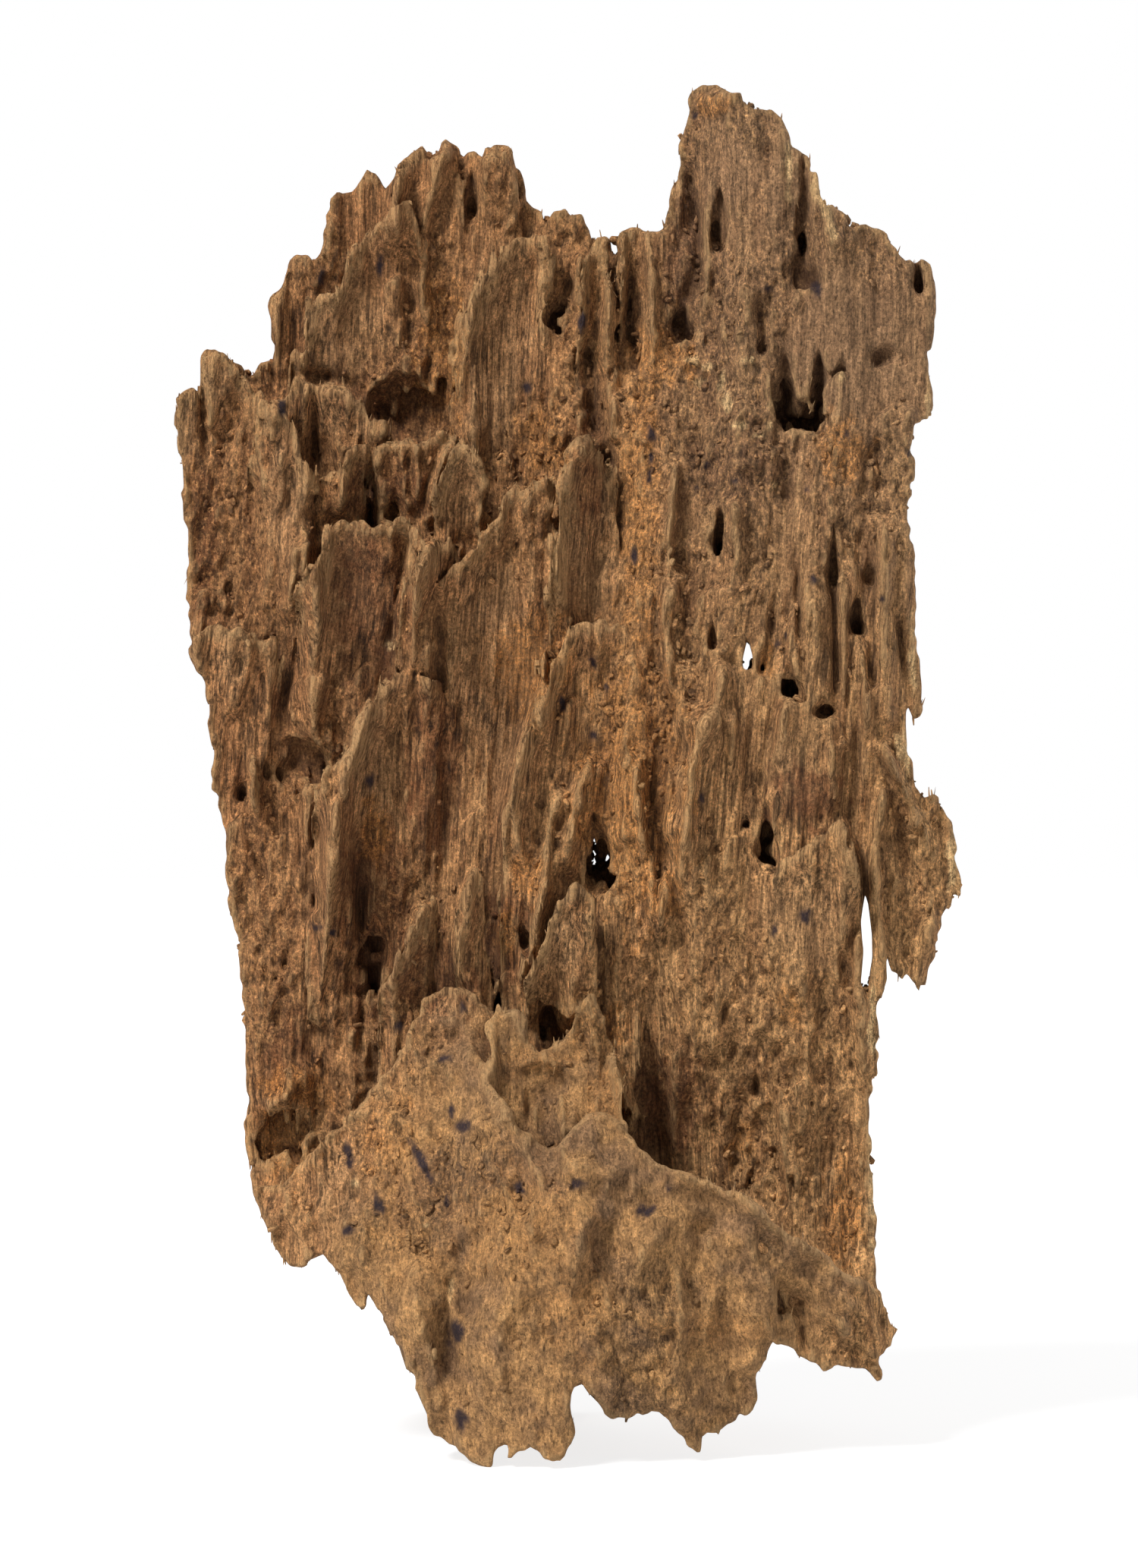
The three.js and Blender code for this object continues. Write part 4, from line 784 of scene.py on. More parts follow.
class Front:
    """The maps of the wood over the front view: where the outline is, and how high its grain stands."""

    def __init__(self, across, up):
        self.across, self.up = np.meshgrid(across, up, indexing="ij")
        u, v = self.across, self.up
        self.grain = u + 4 * np.sin(v / 55) + 1.6 * noise(3, u / 30, v / 40)
        outline = shape_distance(OUTLINE, u, v)
        self.edge = outline + layered(EDGE_LAYERS, u, v)
        self.inside = np.clip(-outline, 0, None)
        uneven = 0.3 * noise(16, u / 5, v / 7)
        self.calm = near_spots(SMOOTH, u, v, uneven)
        patches = layered(PATCH_LAYERS, self.grain, v)
        crumbly = 0.4 + 0.7 * patches + 0.7 * near_spots(CRUMBLY, u, v, uneven) - 0.6 * self.calm
        self.crumb = smooth(ramp(crumbly))
        self.folds = sum(ridge(shape, u, v) for shape in FOLDS) * (0.8 + 0.4 * noise(15, u / 4, v / 6))
        gains = (RIDGE_GAIN if shape[0] > 0 else GROOVE_GAIN for shape in RIDGES)
        drawn = sum(gain * ridge(shape, u, v) for gain, shape in zip(gains, RIDGES))
        self.raised = drawn * layered(WORN_LAYERS, self.grain, v, start=0.85)
        for seed, *size in TONGUES:
            self.raised = self.raised + flames(seed, self.grain, v, *size)

    def ripple(self):
        phase = 2 * math.pi * self.grain / RIPPLE_PITCH
        return np.sin(phase) + 0.5 * np.sin(0.84 * phase + 1)

    def relief(self, seed):
        """How far the surface stands out from its smooth form."""
        fibres = layered(FIBRE_LAYERS, self.grain, self.up, seed)
        crumbs = layered(CRUMB_LAYERS, self.across, self.up, seed)
        lumps = 1.2 * noise(seed + 5, self.across / 11, self.up / 17)
        rough = fibres * (1 - 0.65 * self.crumb) + crumbs * (0.2 + 0.8 * self.crumb) + lumps + self.raised
        return rough * (1 - 0.5 * self.calm)


def ledge_field(field, front, axes, shape, side, seed, foot_limit):
    """Joins one ledge to the field, facing the eye if side is -1, with its foot no deeper than a limit."""
    face_left, face_right, base, root, foot, pocket, fade, crest = shape
    across, up, depth = axes
    left, right = crest[0][0], crest[-1][0]
    top = max(point[1] for point in crest)
    columns = between(across, left - LEDGE_MARGIN, right + LEDGE_MARGIN)
    rows = between(up, foot - LEDGE_MARGIN, top + LEDGE_MARGIN)
    u = front.across[columns, rows]
    v = front.up[columns, rows]
    relief = front.relief(seed)[columns, rows]
    tooth = layered(TOOTH_LAYERS, u, v, seed) * (1 + 3 * ramp(1 - (v - foot) / 8))
    area = shape_distance(((left, foot), *crest, (right, foot)), u, v)
    line = on_line(crest, u)
    down = line - v
    share = ramp(u - left, right - left)
    fall = ramp(down, np.maximum(line - foot, 1)) ** 1.5
    from_side = ramp(np.minimum(u - left, right - u), fade + 0.15 * np.clip(down, 0, None))
    crown = (1 - smooth(from_side)) * (0.35 + 0.65 * ramp(down, 12))
    dish = DISH * (right - left) * np.sin(math.pi * share) * ramp(down - 2, 10)
    face = face_left + (face_right - face_left) * share - side * dish
    base = np.minimum(base, foot_limit[columns, rows])
    face = face + (base - face) * np.maximum(fall, 0.8 * crown)
    near = face + side * relief
    reach = ramp(np.where(area < 0, segment_distance(crest, u, v), 0), pocket) ** 1.5
    far = near - side * CREST_THICKNESS
    far = far + (root - far) * reach
    near, far, area, tooth = (values[:, :, None] for values in (near, far, area, tooth))
    sheet = np.maximum(side * (depth - near), side * (far - depth))
    sheet = cut(sheet, area + tooth, CREST_ROUNDING)
    field[columns, rows] = joined(field[columns, rows], sheet, LEDGE_BLEND)


def skin_field(field, front, axes, shape, seed):
    """Joins one sheet of the outer skin to the field, thin along its rim and thicker below it."""
    foot, set_back, rim = shape
    across, up, depth = axes
    u, v = front.across, front.up
    floor = foot - SKIN_OVERLAP
    area = shape_distance(((rim[0][0], floor), *rim, (rim[-1][0], floor)), u, v)
    area = area + 0.5 * noise(seed, u / 1.8, v / 2.2)
    lumps = 1.5 * noise(seed + 1, u / 12, v / 14) + 1.3 * ribbed(seed + 2, (u + 0.3 * v) / 7, v / 11)
    crumbs = layered(SKIN_LAYERS, u, v, seed)
    flakes = flames(seed + 5, u + 0.35 * v, v, 9, 14, 1.2) + flames(seed + 35, u + 0.2 * v, v, 4, 6, 0.8)
    near = depth_map(SKIN_FRONT, SKIN_LEVELS, across, up, 6) + on_line(set_back, u)
    near = near - 0.65 * front.ripple() - lumps - crumbs - flakes - 1.3 * front.folds
    thickness = 3.2 + 4.5 * ramp(on_line(rim, u) - v, 50)
    near, far, area = (values[:, :, None] for values in (near, near + thickness, area))
    sheet = cut(np.maximum(near - depth, depth - far), area, SKIN_ROUNDING)
    field[...] = joined(field, sheet, LEDGE_BLEND)


def hollow_field(field, axes, ragged, shape):
    """Cuts one hollow, shallow at its top and deepest above its lower lip."""
    u, v, half_width, half_height, y, reach = shape
    lean = HOLLOW_LEAN * reach
    spans = ((u, half_width), (v, half_height), (y, reach + lean))
    part = tuple(
        between(axis, middle - half - HOLLOW_MARGIN, middle + half + HOLLOW_MARGIN)
        for axis, (middle, half) in zip(axes, spans)
    )
    u_at, v_at, y_at = np.ix_(*(axis[box] for axis, box in zip(axes, part)))
    height = (v_at - v) / half_height
    width = half_width * np.clip(1 - 0.6 * height, 0.2, 2)
    ratios = ((u_at - u) / width, height, (y_at - y + lean * height) / reach)
    size = min(half_width, half_height, reach)
    ball = (np.sqrt(sum(ratio * ratio for ratio in ratios)) - 1) * size
    ball = ball + ragged[part] * min(0.7 * size, 2.2)
    field[part] = cut(field[part], -ball, HOLLOW_BLEND)


def wood_field(spans):
    """The axes, the maps and the field of the whole piece over a grid in the front view."""
    axes = [np.arange(*span, dtype=np.float32) for span in spans]
    across, up, depth = axes
    front = Front(across, up)
    step = across[1] - across[0]
    core_front = depth_map(CORE_FRONT, UP, across, up, 5 / step)
    core_back = depth_map(CORE_BACK, UP, across, up, 7 / step)
    ripple = RIPPLE * front.ripple()
    near = core_front + ripple - front.relief(20)
    far = core_back + ripple + 0.8 * front.relief(40)
    far = np.minimum(far, core_front + EDGE_THICKNESS + EDGE_SLOPE * front.inside)
    field = np.maximum(near[:, :, None] - depth, depth - far[:, :, None])
    no_limit = np.full_like(core_back, FAR)
    for shapes, side, seed, limit in ((LEDGES, -1, 100, no_limit), (BACK_LEDGES, 1, 500, core_back - 2)):
        for number, shape in enumerate(shapes):
            ledge_field(field, front, axes, shape, side, seed + 10 * number, limit)
    skin_field(field, front, axes, LEFT_RIM, 600)
    skin_field(field, front, axes, FRONT_RIM, 620)
    ragged = volume_noise(7, axes, (2.4, 4.0, 2.4))
    crumbling = (0.15 + 0.85 * front.crumb)[:, :, None]
    field += crumbling * (0.75 * ragged + 0.5 * volume_noise(8, axes, (1.4, 1.9, 1.4)))
    for shape in (*HOLLOWS, *BACK_HOLLOWS):
        hollow_field(field, axes, ragged, shape)
    for outline in SLITS:
        slit = shape_distance(outline, front.across, front.up)
        field = cut(field, -slit[:, :, None], SLIT_BLEND)
    field = cut(field, front.edge[:, :, None], OUTLINE_BLEND)
    height = EYE_HEIGHT + (up[None, :, None] - EYE_HEIGHT) * (1 + depth / EYE_DISTANCE)
    field = np.maximum(field, -height)
    field[[0, -1]] = 1
    field[:, [0, -1]] = 1
    field[:, :, [0, -1]] = 1
    return axes, front, field


def surface_net(axes, field):
    """The surface where the field is zero: one point in each cell that it passes through, joined by quads."""
    cells = [size - 1 for size in field.shape]
    inside = field < 0
    corners = []
    crossings = []
    quads = []
    for axis in range(3):
        low = [slice(None)] * 3
        high = [slice(None)] * 3
        low[axis] = slice(None, -1)
        high[axis] = slice(1, None)
        starts = inside[tuple(low)]
        where = np.nonzero(starts != inside[tuple(high)])
        first = field[tuple(low)][where]
        second = field[tuple(high)][where]
        share = first / (first - second)
        place = [values[index] for values, index in zip(axes, where)]
        place[axis] = place[axis] + share * (axes[axis][1] - axes[axis][0])
        one, two = [other for other in range(3) if other != axis]
        around = []
        for back_one, back_two in ((1, 1), (0, 1), (0, 0), (1, 0)):
            cell = list(where)
            cell[one] = cell[one] - back_one
            cell[two] = cell[two] - back_two
            around.append((cell[0] * cells[1] + cell[1]) * cells[2] + cell[2])
        around = np.stack(around, axis=1)
        turned = starts[where] if axis != 1 else ~starts[where]
        around[turned] = around[turned][:, ::-1]
        quads.append(around)
        corners.append(around.ravel())
        crossings.append(np.repeat(np.stack(place, axis=1), 4, axis=0))
    corners = np.concatenate(corners)
    crossings = np.concatenate(crossings)
    label = np.zeros(int(np.prod(cells)), dtype=np.int32)
    label[corners] = 1
    used = np.flatnonzero(label)
    label[used] = np.arange(len(used))
    corners = label[corners]
    count = np.bincount(corners, minlength=len(used))
    points = [np.bincount(corners, crossings[:, axis], len(used)) / count for axis in range(3)]
    return np.stack(points, axis=1), label[np.concatenate(quads)]


def largest_part(points, quads):
    """Leaves out what hangs free of the largest body."""
    label = np.arange(len(points))
    pairs = np.concatenate([quads[:, (0, 1)], quads[:, (1, 2)], quads[:, (2, 3)]])
    while True:
        lowest = np.minimum(label[pairs[:, 0]], label[pairs[:, 1]])
        fresh = label.copy()
        np.minimum.at(fresh, pairs[:, 0], lowest)
        np.minimum.at(fresh, pairs[:, 1], lowest)
        fresh = fresh[fresh]
        if np.array_equal(fresh, label):
            break
        label = fresh
    names, sizes = np.unique(label, return_counts=True)
    kept = label == names[np.argmax(sizes)]
    fresh_index = np.cumsum(kept) - 1
    return points[kept], fresh_index[quads[kept[quads[:, 0]]]]


def seen(places):
    """Places of the front view, each across, up and depth, in the frame."""
    across, up, depth = places.T
    spread = 1 + depth / EYE_DISTANCE
    z = EYE_HEIGHT + (up - EYE_HEIGHT) * spread
    return np.stack([across * spread - CENTRE_X, depth - CENTRE_Y, z], axis=1)


def in_front_view(places):
    """The way back from the frame to the front view."""
    x, y, z = places.T
    depth = y + CENTRE_Y
    spread = 1 + depth / EYE_DISTANCE
    return np.stack([(x + CENTRE_X) / spread, EYE_HEIGHT + (z - EYE_HEIGHT) / spread, depth], axis=1)


def added(name, data):
    """A new object of the scene."""
    made = bpy.data.objects.new(name, data)
    bpy.context.scene.collection.objects.link(made)
    return made


def mesh_object(name, points, faces):
    """An object from points in millimetres and faces that all have the same number of corners."""
    mesh = bpy.data.meshes.new(name)
    mesh.vertices.add(len(points))
    mesh.vertices.foreach_set("co", (points * MM).astype(np.float32).ravel())
    mesh.loops.add(faces.size)
    mesh.loops.foreach_set("vertex_index", faces.astype(np.int32).ravel())
    mesh.polygons.add(len(faces))
    mesh.polygons.foreach_set("loop_start", np.arange(0, faces.size, faces.shape[1], dtype=np.int32))
    mesh.update(calc_edges=True)
    mesh.validate()
    mesh.shade_smooth()
    return added(name, mesh)


def read(entries, name, width=1, kind=np.float32):
    """One property of a mesh's points or corners, in rows of three."""
    flat = np.empty(len(entries) * width, dtype=kind)
    entries.foreach_get(name, flat)
    return flat.reshape(-1, 3)


def thinned(made, triangles, weights):
    """Fewer triangles, and most of them left where the weight is small."""
    group = made.vertex_groups.new(name="thin")
    for level in range(1, WEIGHT_STEPS + 1):
        members = np.flatnonzero(np.round(weights * WEIGHT_STEPS) == level)
        group.add(members.tolist(), level / WEIGHT_STEPS, "REPLACE")
    modifier = made.modifiers.new("thin", "DECIMATE")
    modifier.ratio = min(1, triangles / (2 * len(made.data.polygons)))
    modifier.use_collapse_triangulate = True
    modifier.vertex_group = group.name
    modifier.vertex_group_factor = 1.0
    thin = bpy.data.meshes.new_from_object(made.evaluated_get(bpy.context.evaluated_depsgraph_get()))
    bpy.data.meshes.remove(made.data)
    thin.shade_smooth()
    return thin


def aim(made, target):
    """Turns a camera or a lamp towards a place."""
    x, y, z = np.array(target) - np.array(made.location)
    made.rotation_euler = (math.pi / 2 + math.atan2(z, math.hypot(x, y)), 0, math.atan2(-x, y))


def add_camera():
    """The photograph's eye, with a lens that takes in the photograph's height on the plane y = 0."""
    data = bpy.data.cameras.new("camera")
    made = added("camera", data)
    eye, middle = seen(np.array([(0, EYE_HEIGHT, -EYE_DISTANCE), (0, AIM_HEIGHT, 0)])) * MM
    made.location = eye
    aim(made, middle)
    data.sensor_fit = "VERTICAL"
    data.sensor_height = SENSOR_HEIGHT
    data.lens = SENSOR_HEIGHT * math.dist(eye, middle) / (PHOTO_SIZE[1] * MM_PER_PIXEL * MM)
    bpy.context.scene.camera = made


def add_lamp(name, kind, place, power, **extent):
    data = bpy.data.lights.new(name, kind)
    data.energy = power
    for setting, value in extent.items():
        setattr(data, setting, value)
    made = added(name, data)
    made.location = np.array(place) * MM
    aim(made, np.array(LAMP_TARGET) * MM)


def add_surroundings():
    """Soft light from all sides on a plain white ground, and two lamps."""
    scene = bpy.context.scene
    scene.view_settings.view_transform = "Standard"
    world = bpy.data.worlds.new("world")
    scene.world = world
    world.use_nodes = True
    nodes = world.node_tree.nodes
    links = world.node_tree.links
    shine = nodes["Background"]
    backdrop = nodes.new("ShaderNodeBackground")
    for ground in (shine, backdrop):
        ground.inputs["Color"].default_value = WHITE
    shine.inputs["Strength"].default_value = WORLD_STRENGTH
    rays = nodes.new("ShaderNodeLightPath")
    mixed = nodes.new("ShaderNodeMixShader")
    links.new(rays.outputs["Is Camera Ray"], mixed.inputs["Fac"])
    links.new(shine.outputs["Background"], mixed.inputs[1])
    links.new(backdrop.outputs["Background"], mixed.inputs[2])
    links.new(mixed.outputs["Shader"], nodes["World Output"].inputs["Surface"])
    add_lamp("key", "SUN", KEY_PLACE, KEY_STRENGTH, angle=KEY_ANGLE)
    add_lamp("rim", "AREA", RIM_PLACE, RIM_POWER, size=RIM_SIZE * MM)


def add_floor():
    corners = [(x * FLOOR_REACH, y * FLOOR_REACH, 0) for x, y in ((-1, -1), (1, -1), (1, 1), (-1, 1))]
    floor = mesh_object("floor", np.array(corners), np.array([(0, 1, 2, 3)]))
    material = bpy.data.materials.new("pale_floor")
    material.use_nodes = True
    shader = material.node_tree.nodes["Principled BSDF"]
    shader.inputs["Base Color"].default_value = (FLOOR_GREY, FLOOR_GREY, FLOOR_GREY, 1)
    shader.inputs["Roughness"].default_value = 0.8
    shader.inputs["Emission Color"].default_value = WHITE
    shader.inputs["Emission Strength"].default_value = FLOOR_GLOW
    floor.data.materials.append(material)


def open_edges(triangles, count):
    """The edges that only one triangle has."""
    sides = np.concatenate([triangles[:, pair] for pair in ((0, 1), (1, 2), (2, 0))]).astype(np.int64)
    forward = sides[:, 0] * count + sides[:, 1]
    backward = sides[:, 1] * count + sides[:, 0]
    return sides[~np.isin(forward, backward)]


def cap(points, rim, upward):
    """Triangles that close a body across a level rim, facing up or down."""
    used, edges = np.unique(rim, return_inverse=True)
    flat = [Vector(place) for place in points[used, :2].tolist()]
    filled = delaunay_2d_cdt(flat, edges.reshape(-1, 2).tolist(), [], INSIDE_WITH_HOLES, MERGE_DISTANCE)
    sources = [found[0] if found else None for found in filled[3]]
    faces = [[sources[corner] for corner in face] for face in filled[2]]
    faces = used[np.array([face for face in faces if None not in face])]
    first, second, third = (points[faces[:, corner], :2] for corner in range(3))
    one, two = second - first, third - first
    turned = (one[:, 0] * two[:, 1] - one[:, 1] * two[:, 0] > 0) != upward
    faces[turned] = faces[turned][:, ::-1]
    return faces


def sliced(rows, triangles, height):
    """The same surface with its triangles parted where they cross a height. Rows are points and normals."""
    above = rows[:, 2] > height
    count = above[triangles].sum(axis=1)
    crossing = (count == 1) | (count == 2)
    parted = triangles[crossing]
    alone = np.argmax(above[parted] == (count[crossing] == 1)[:, None], axis=1)
    turned = parted[np.arange(len(parted))[:, None], (alone[:, None] + np.arange(3)) % 3]
    tip, second, third = turned.T
    edges = np.sort(np.concatenate([turned[:, (0, 1)], turned[:, (0, 2)]]), axis=1)
    edges, label = np.unique(edges, axis=0, return_inverse=True)
    one, two = label.reshape(2, -1) + len(rows)
    low, high = rows[edges[:, 0]], rows[edges[:, 1]]
    share = ((height - low[:, 2]) / (high[:, 2] - low[:, 2]))[:, None]
    fresh = [(tip, one, two), (one, second, third), (one, third, two)]
    pieces = [triangles[~crossing], *(np.stack(corners, axis=1) for corners in fresh)]
    return np.concatenate([rows, low + share * (high - low)]), np.concatenate(pieces)


def split_by_height(points, triangles, levels):
    """Closed pieces between the heights where it is sliced: the points of each, and its triangles."""
    band = np.searchsorted(levels, points[triangles, 2].mean(axis=1))
    for number in range(len(levels) + 1):
        own = triangles[band == number]
        rim = open_edges(own, len(points))
        closing = []
        for upward, level in ((False, number - 1), (True, number)):
            if 0 <= level < len(levels):
                near = np.abs(points[rim[:, 0], 2] - levels[level]) < MERGE_DISTANCE
                closing.append(cap(points, rim[near], upward))
        used, label = np.unique(np.concatenate([own, *closing]), return_inverse=True)
        yield used, label.reshape(-1, 3)


def sampled(axes, values, places):
    """Values of a grid at places in it, by linear steps between its points."""
    total = np.zeros(len(places), dtype=np.float32)
    lows = []
    shares = []
    for axis, place, size in zip(axes, places.T, values.shape):
        spot = np.clip((place - axis[0]) / (axis[1] - axis[0]), 0, size - 1.001)
        low = np.floor(spot).astype(int)
        lows.append(low)
        shares.append(spot - low)
    for corner in itertools.product((0, 1), repeat=len(axes)):
        weight = np.ones(len(places), dtype=np.float32)
        for side, share in zip(corner, shares):
            weight = weight * (share if side else 1 - share)
        total += weight * values[tuple(low + side for low, side in zip(lows, corner))]
    return total


def surface_values(axes, front, field, places):
    """What the material reads at each point of the surface."""
    sparse = [axis[::2] for axis in axes]
    solid = (field[::2, ::2, ::2] < 0).astype(np.float32)
    values = {}
    # How much solid wood lies around each point, near and farther off; the material paints shade and
    # highlight from these.
    for name, radius in (("close", 2.2), ("wide", 8.0)):
        reach = [max(1, round(radius / (axis[1] - axis[0]))) for axis in sparse]
        values[name] = sampled(sparse, box_mean(solid, reach), places)
    u, v, y = places.T
    for name, kept in (("grain", front.grain), ("crumb", front.crumb)):
        values[name] = sampled(axes[:2], kept, places[:, :2])
    ragged = layered(SPOT_LAYERS, u, v)
    facing = smooth(ramp(14 - y, 6))
    values["resin"] = near_spots(RESIN, u, v, ragged) * facing
    # Pale crust, and painted rim light along the right edge, at the front.
    values["crust"] = near_spots(CRUST_AND_RIM_LIGHT_SPOTS, u, v, 1.4 * ragged) * smooth(ramp(-2 - y, 6))
    values["orange"] = near_spots(ORANGE, u, v, ragged)
    values["umber"] = near_spots(STAIN_AND_SHADE_SPOTS, u, v, ragged)
    values["smooth"] = near_spots(SMOOTH, u, v, 0.5 * ragged) * facing
    values["skin"] = smooth(ramp(-24 - y, 5)) * smooth(ramp(112 - v, 12))
    return values


def linear(shade):
    """A colour as a screen shows it, in the renderer's linear light."""
    shares = [value / 255 for value in shade]
    return (*(share / 12.92 if share < 0.04045 else ((share + 0.055) / 1.055) ** 2.4 for share in shares), 1)


class Graph:
    """Short names for the shader nodes of one material."""

    def __init__(self, name):
        self.material = bpy.data.materials.new(name)
        self.material.use_nodes = True
        self.tree = self.material.node_tree
        self.shader = self.tree.nodes["Principled BSDF"]

    def link(self, value, socket):
        if isinstance(value, bpy.types.NodeSocket):
            self.tree.links.new(value, socket)
        else:
            socket.default_value = value

    def node(self, kind, entries=(), **settings):
        """A node with its settings, and with entries for its first sockets or for the sockets of a name."""
        made = self.tree.nodes.new("ShaderNode" + kind)
        for name, value in settings.items():
            setattr(made, name, value)
        if isinstance(entries, dict):
            for name, value in entries.items():
                self.link(value, made.inputs[name])
        else:
            for value, socket in zip(entries, made.inputs):
                self.link(value, socket)
        return made

    def attribute(self, name):
        return self.node("Attribute", attribute_name=name).outputs["Fac"]

    def times(self, first, second):
        return self.node("Math", (first, second), operation="MULTIPLY").outputs[0]

    def plus(self, first, second):
        return self.node("Math", (first, second), operation="ADD").outputs[0]

    def larger(self, first, second):
        return self.node("Math", (first, second), operation="MAXIMUM").outputs[0]

    def span(self, value, low, high, first=0.0, last=1.0):
        """Maps low..high to first..last, and holds the ends."""
        entries = (value, low, high, first, last)
        return self.node("MapRange", entries, interpolation_type="SMOOTHSTEP").outputs[0]

    def mixed(self, share, first, second, blend="MIX"):
        """Two colours mixed. The node has a set of sockets for each kind of value."""
        node = self.node("Mix", data_type="RGBA", blend_type=blend)
        sockets = {socket.identifier: socket for socket in node.inputs}
        self.link(share, sockets["Factor_Float"])
        self.link(first, sockets["A_Color"])
        self.link(second, sockets["B_Color"])
        return next(socket for socket in node.outputs if socket.identifier == "Result_Color")

    def tinted(self, brown, share, shade):
        return self.mixed(share, brown, linear(shade))

    def dimmed(self, brown, factor):
        return self.mixed(1.0, brown, self.vector(factor, factor, factor), "MULTIPLY")

    def vector(self, *entries):
        return self.node("CombineXYZ", entries).outputs[0]

    def noise(self, place, scale, detail=3.0, rough=0.6):
        entries = {"Vector": place, "Scale": scale, "Detail": detail, "Roughness": rough}
        return self.node("TexNoise", entries).outputs["Fac"]


class WoodGraph(Graph):
    """The places, the values of the mesh and the patterns that the wood's colour and its fine relief read."""

    def __init__(self, name):
        super().__init__(name)
        place = self.node("TexCoord").outputs["Object"]
        parts = self.node("SeparateXYZ", [place]).outputs
        self.across, self.depth, self.height = (self.times(part, 1 / MM) for part in parts)
        for layer in "grain crumb close wide resin crust orange umber smooth skin".split():
            setattr(self, layer, self.attribute(layer))
        even = self.vector(self.across, self.depth, self.height)
        self.speck = self.noise(even, 1.5, 4.0, 0.78)
        self.cloud = self.noise(even, 0.06)
        self.patch = self.noise(even, 0.22)
        self.fibres = self.drawn_out(0.05, 1.2, 5.0, 0.72)
        self.streaks = self.drawn_out(0.12, 0.28)
        self.pores = self.drawn_out(0.25, 2.1, 2.0)
        self.grit = self.drawn_out(0.42, 0.95, 6.0, 0.78)
        self.crumbly = self.larger(self.crumb, self.times(self.skin, 0.4))
        self.dull = self.times(self.span(self.height, 150, 235), self.span(self.across, 5, 35))
        straight = self.times(self.span(self.crumbly, 0.1, 1, 1, 0.3), self.span(self.skin, 0, 1, 1, 0.15))
        straight = self.times(straight, self.span(self.cloud, 0.4, 0.62, 0.55, 1))
        self.straight = self.times(straight, self.span(self.dull, 0, 1, 1, 0.55))

    def drawn_out(self, share, *size):
        """Noise drawn out along the grain, with only a share of its height."""
        return self.noise(self.vector(self.grain, self.depth, self.times(self.height, share)), *size)


def ground_colour(graph):
    """Brown wood and paler skin, in large soft patches."""
    brown = graph.mixed(graph.span(graph.streaks, 0.3, 0.7), *map(linear, WOOD_BROWNS))
    # Redder, a little darker, to the left and the top: wood tone, and in part painted shade of the upper
    # left.
    left = graph.plus(graph.times(graph.across, -0.007), graph.span(graph.height, 60, 260, 0, 0.5))
    redder_and_shaded = graph.span(graph.plus(left, graph.cloud), 0.3, 1.3)
    brown = graph.tinted(brown, graph.times(redder_and_shaded, 0.6), REDDER_AND_SHADED)
    greyish = graph.times(graph.smooth, graph.span(graph.patch, 0.3, 0.6, 0.3, 0.6))
    brown = graph.tinted(brown, greyish, GREYISH)
    skin = graph.mixed(graph.span(graph.patch, 0.4, 0.62), *map(linear, SKIN_BROWNS))
    skin = graph.tinted(skin, graph.span(graph.cloud, 0.45, 0.65), SKIN_CLOUD)
    return graph.mixed(graph.skin, brown, skin)


def stains_crusts_and_painted_light(graph, brown):
    """Stains and painted shade, golden crumbly wood, and pale crusts with painted rim light."""
    # Dark spots: stain, and painted shade where they lie over pockets and faces turned from the light.
    brown = graph.tinted(brown, graph.times(graph.umber, graph.span(graph.patch, 0.3, 0.6, 0.4, 0.8)), STAIN_AND_PAINTED_SHADE)
    brown = graph.tinted(brown, graph.times(graph.dull, 0.6), DULL)
    golden = graph.times(graph.orange, graph.span(graph.speck, 0.35, 0.62, 0.1, 0.7))
    golden = graph.times(golden, graph.span(graph.skin, 0, 1, 1, 0.35))
    brown = graph.tinted(brown, golden, GOLDEN)
    scattered = graph.times(graph.crumb, graph.span(graph.speck, 0.5, 0.68))
    brown = graph.tinted(brown, graph.times(scattered, 0.6), CRUMB)
    # Pale crust, and painted rim light along the right edge.
    crust = graph.times(graph.crust, graph.span(graph.speck, 0.3, 0.6, 0.4, 0.9))
    return graph.tinted(brown, crust, PALE_CRUST_AND_RIM_LIGHT)


def grained_colour(graph, brown):
    """Light and dark of threads, grit, specks and pores."""
    thread = graph.plus(graph.span(graph.fibres, 0.38, 0.62, 0.28, 1.84), -1.0)
    brown = graph.dimmed(brown, graph.plus(graph.times(thread, graph.straight), 1.0))
    darkest = graph.span(graph.crumbly, 0, 1, 0.76, 0.38)
    lightest = graph.span(graph.crumbly, 0, 1, 1.2, 1.62)
    gritty = graph.span(graph.grit, 0.36, 0.64, darkest, lightest)
    spotted = graph.span(graph.speck, 0.32, 0.68, graph.span(graph.skin, 0, 1, 0.56, 0.7), 1.42)
    spotted = graph.times(graph.times(spotted, gritty), graph.span(graph.patch, 0.34, 0.66, 0.9, 1.1))
    brown = graph.dimmed(brown, spotted)
    return graph.dimmed(brown, graph.span(graph.pores, 0.3, 0.44, 0.4, 1))


def crest_hollow_and_resin_colour(graph, brown):
    """Pale worn crests with a painted highlight, painted shade in the hollows, and spots of resin."""
    # Crests, with little solid wood close around them, are made paler: wear, and a painted highlight.
    wear_and_highlight = graph.times(graph.span(graph.close, 0.46, 0.26), graph.span(graph.fibres, 0.4, 0.6, 0.1, 0.65))
    brown = graph.tinted(brown, wear_and_highlight, CREST_WEAR_AND_HIGHLIGHT)
    # Painted shade: the more solid wood lies around a point, near and farther off, the darker it is made.
    close_shade = graph.span(graph.close, 0.54, 0.78, 0, 0.6)
    deep = graph.span(graph.wide, 0.48, 0.84, 0, 0.75)
    brown = graph.tinted(brown, graph.larger(close_shade, deep), PAINTED_SHADE_BROWN)
    resin = graph.times(graph.resin, graph.span(graph.speck, 0.25, 0.5, 0.4, 1))
    return graph.tinted(brown, resin, RESIN_BLACK)


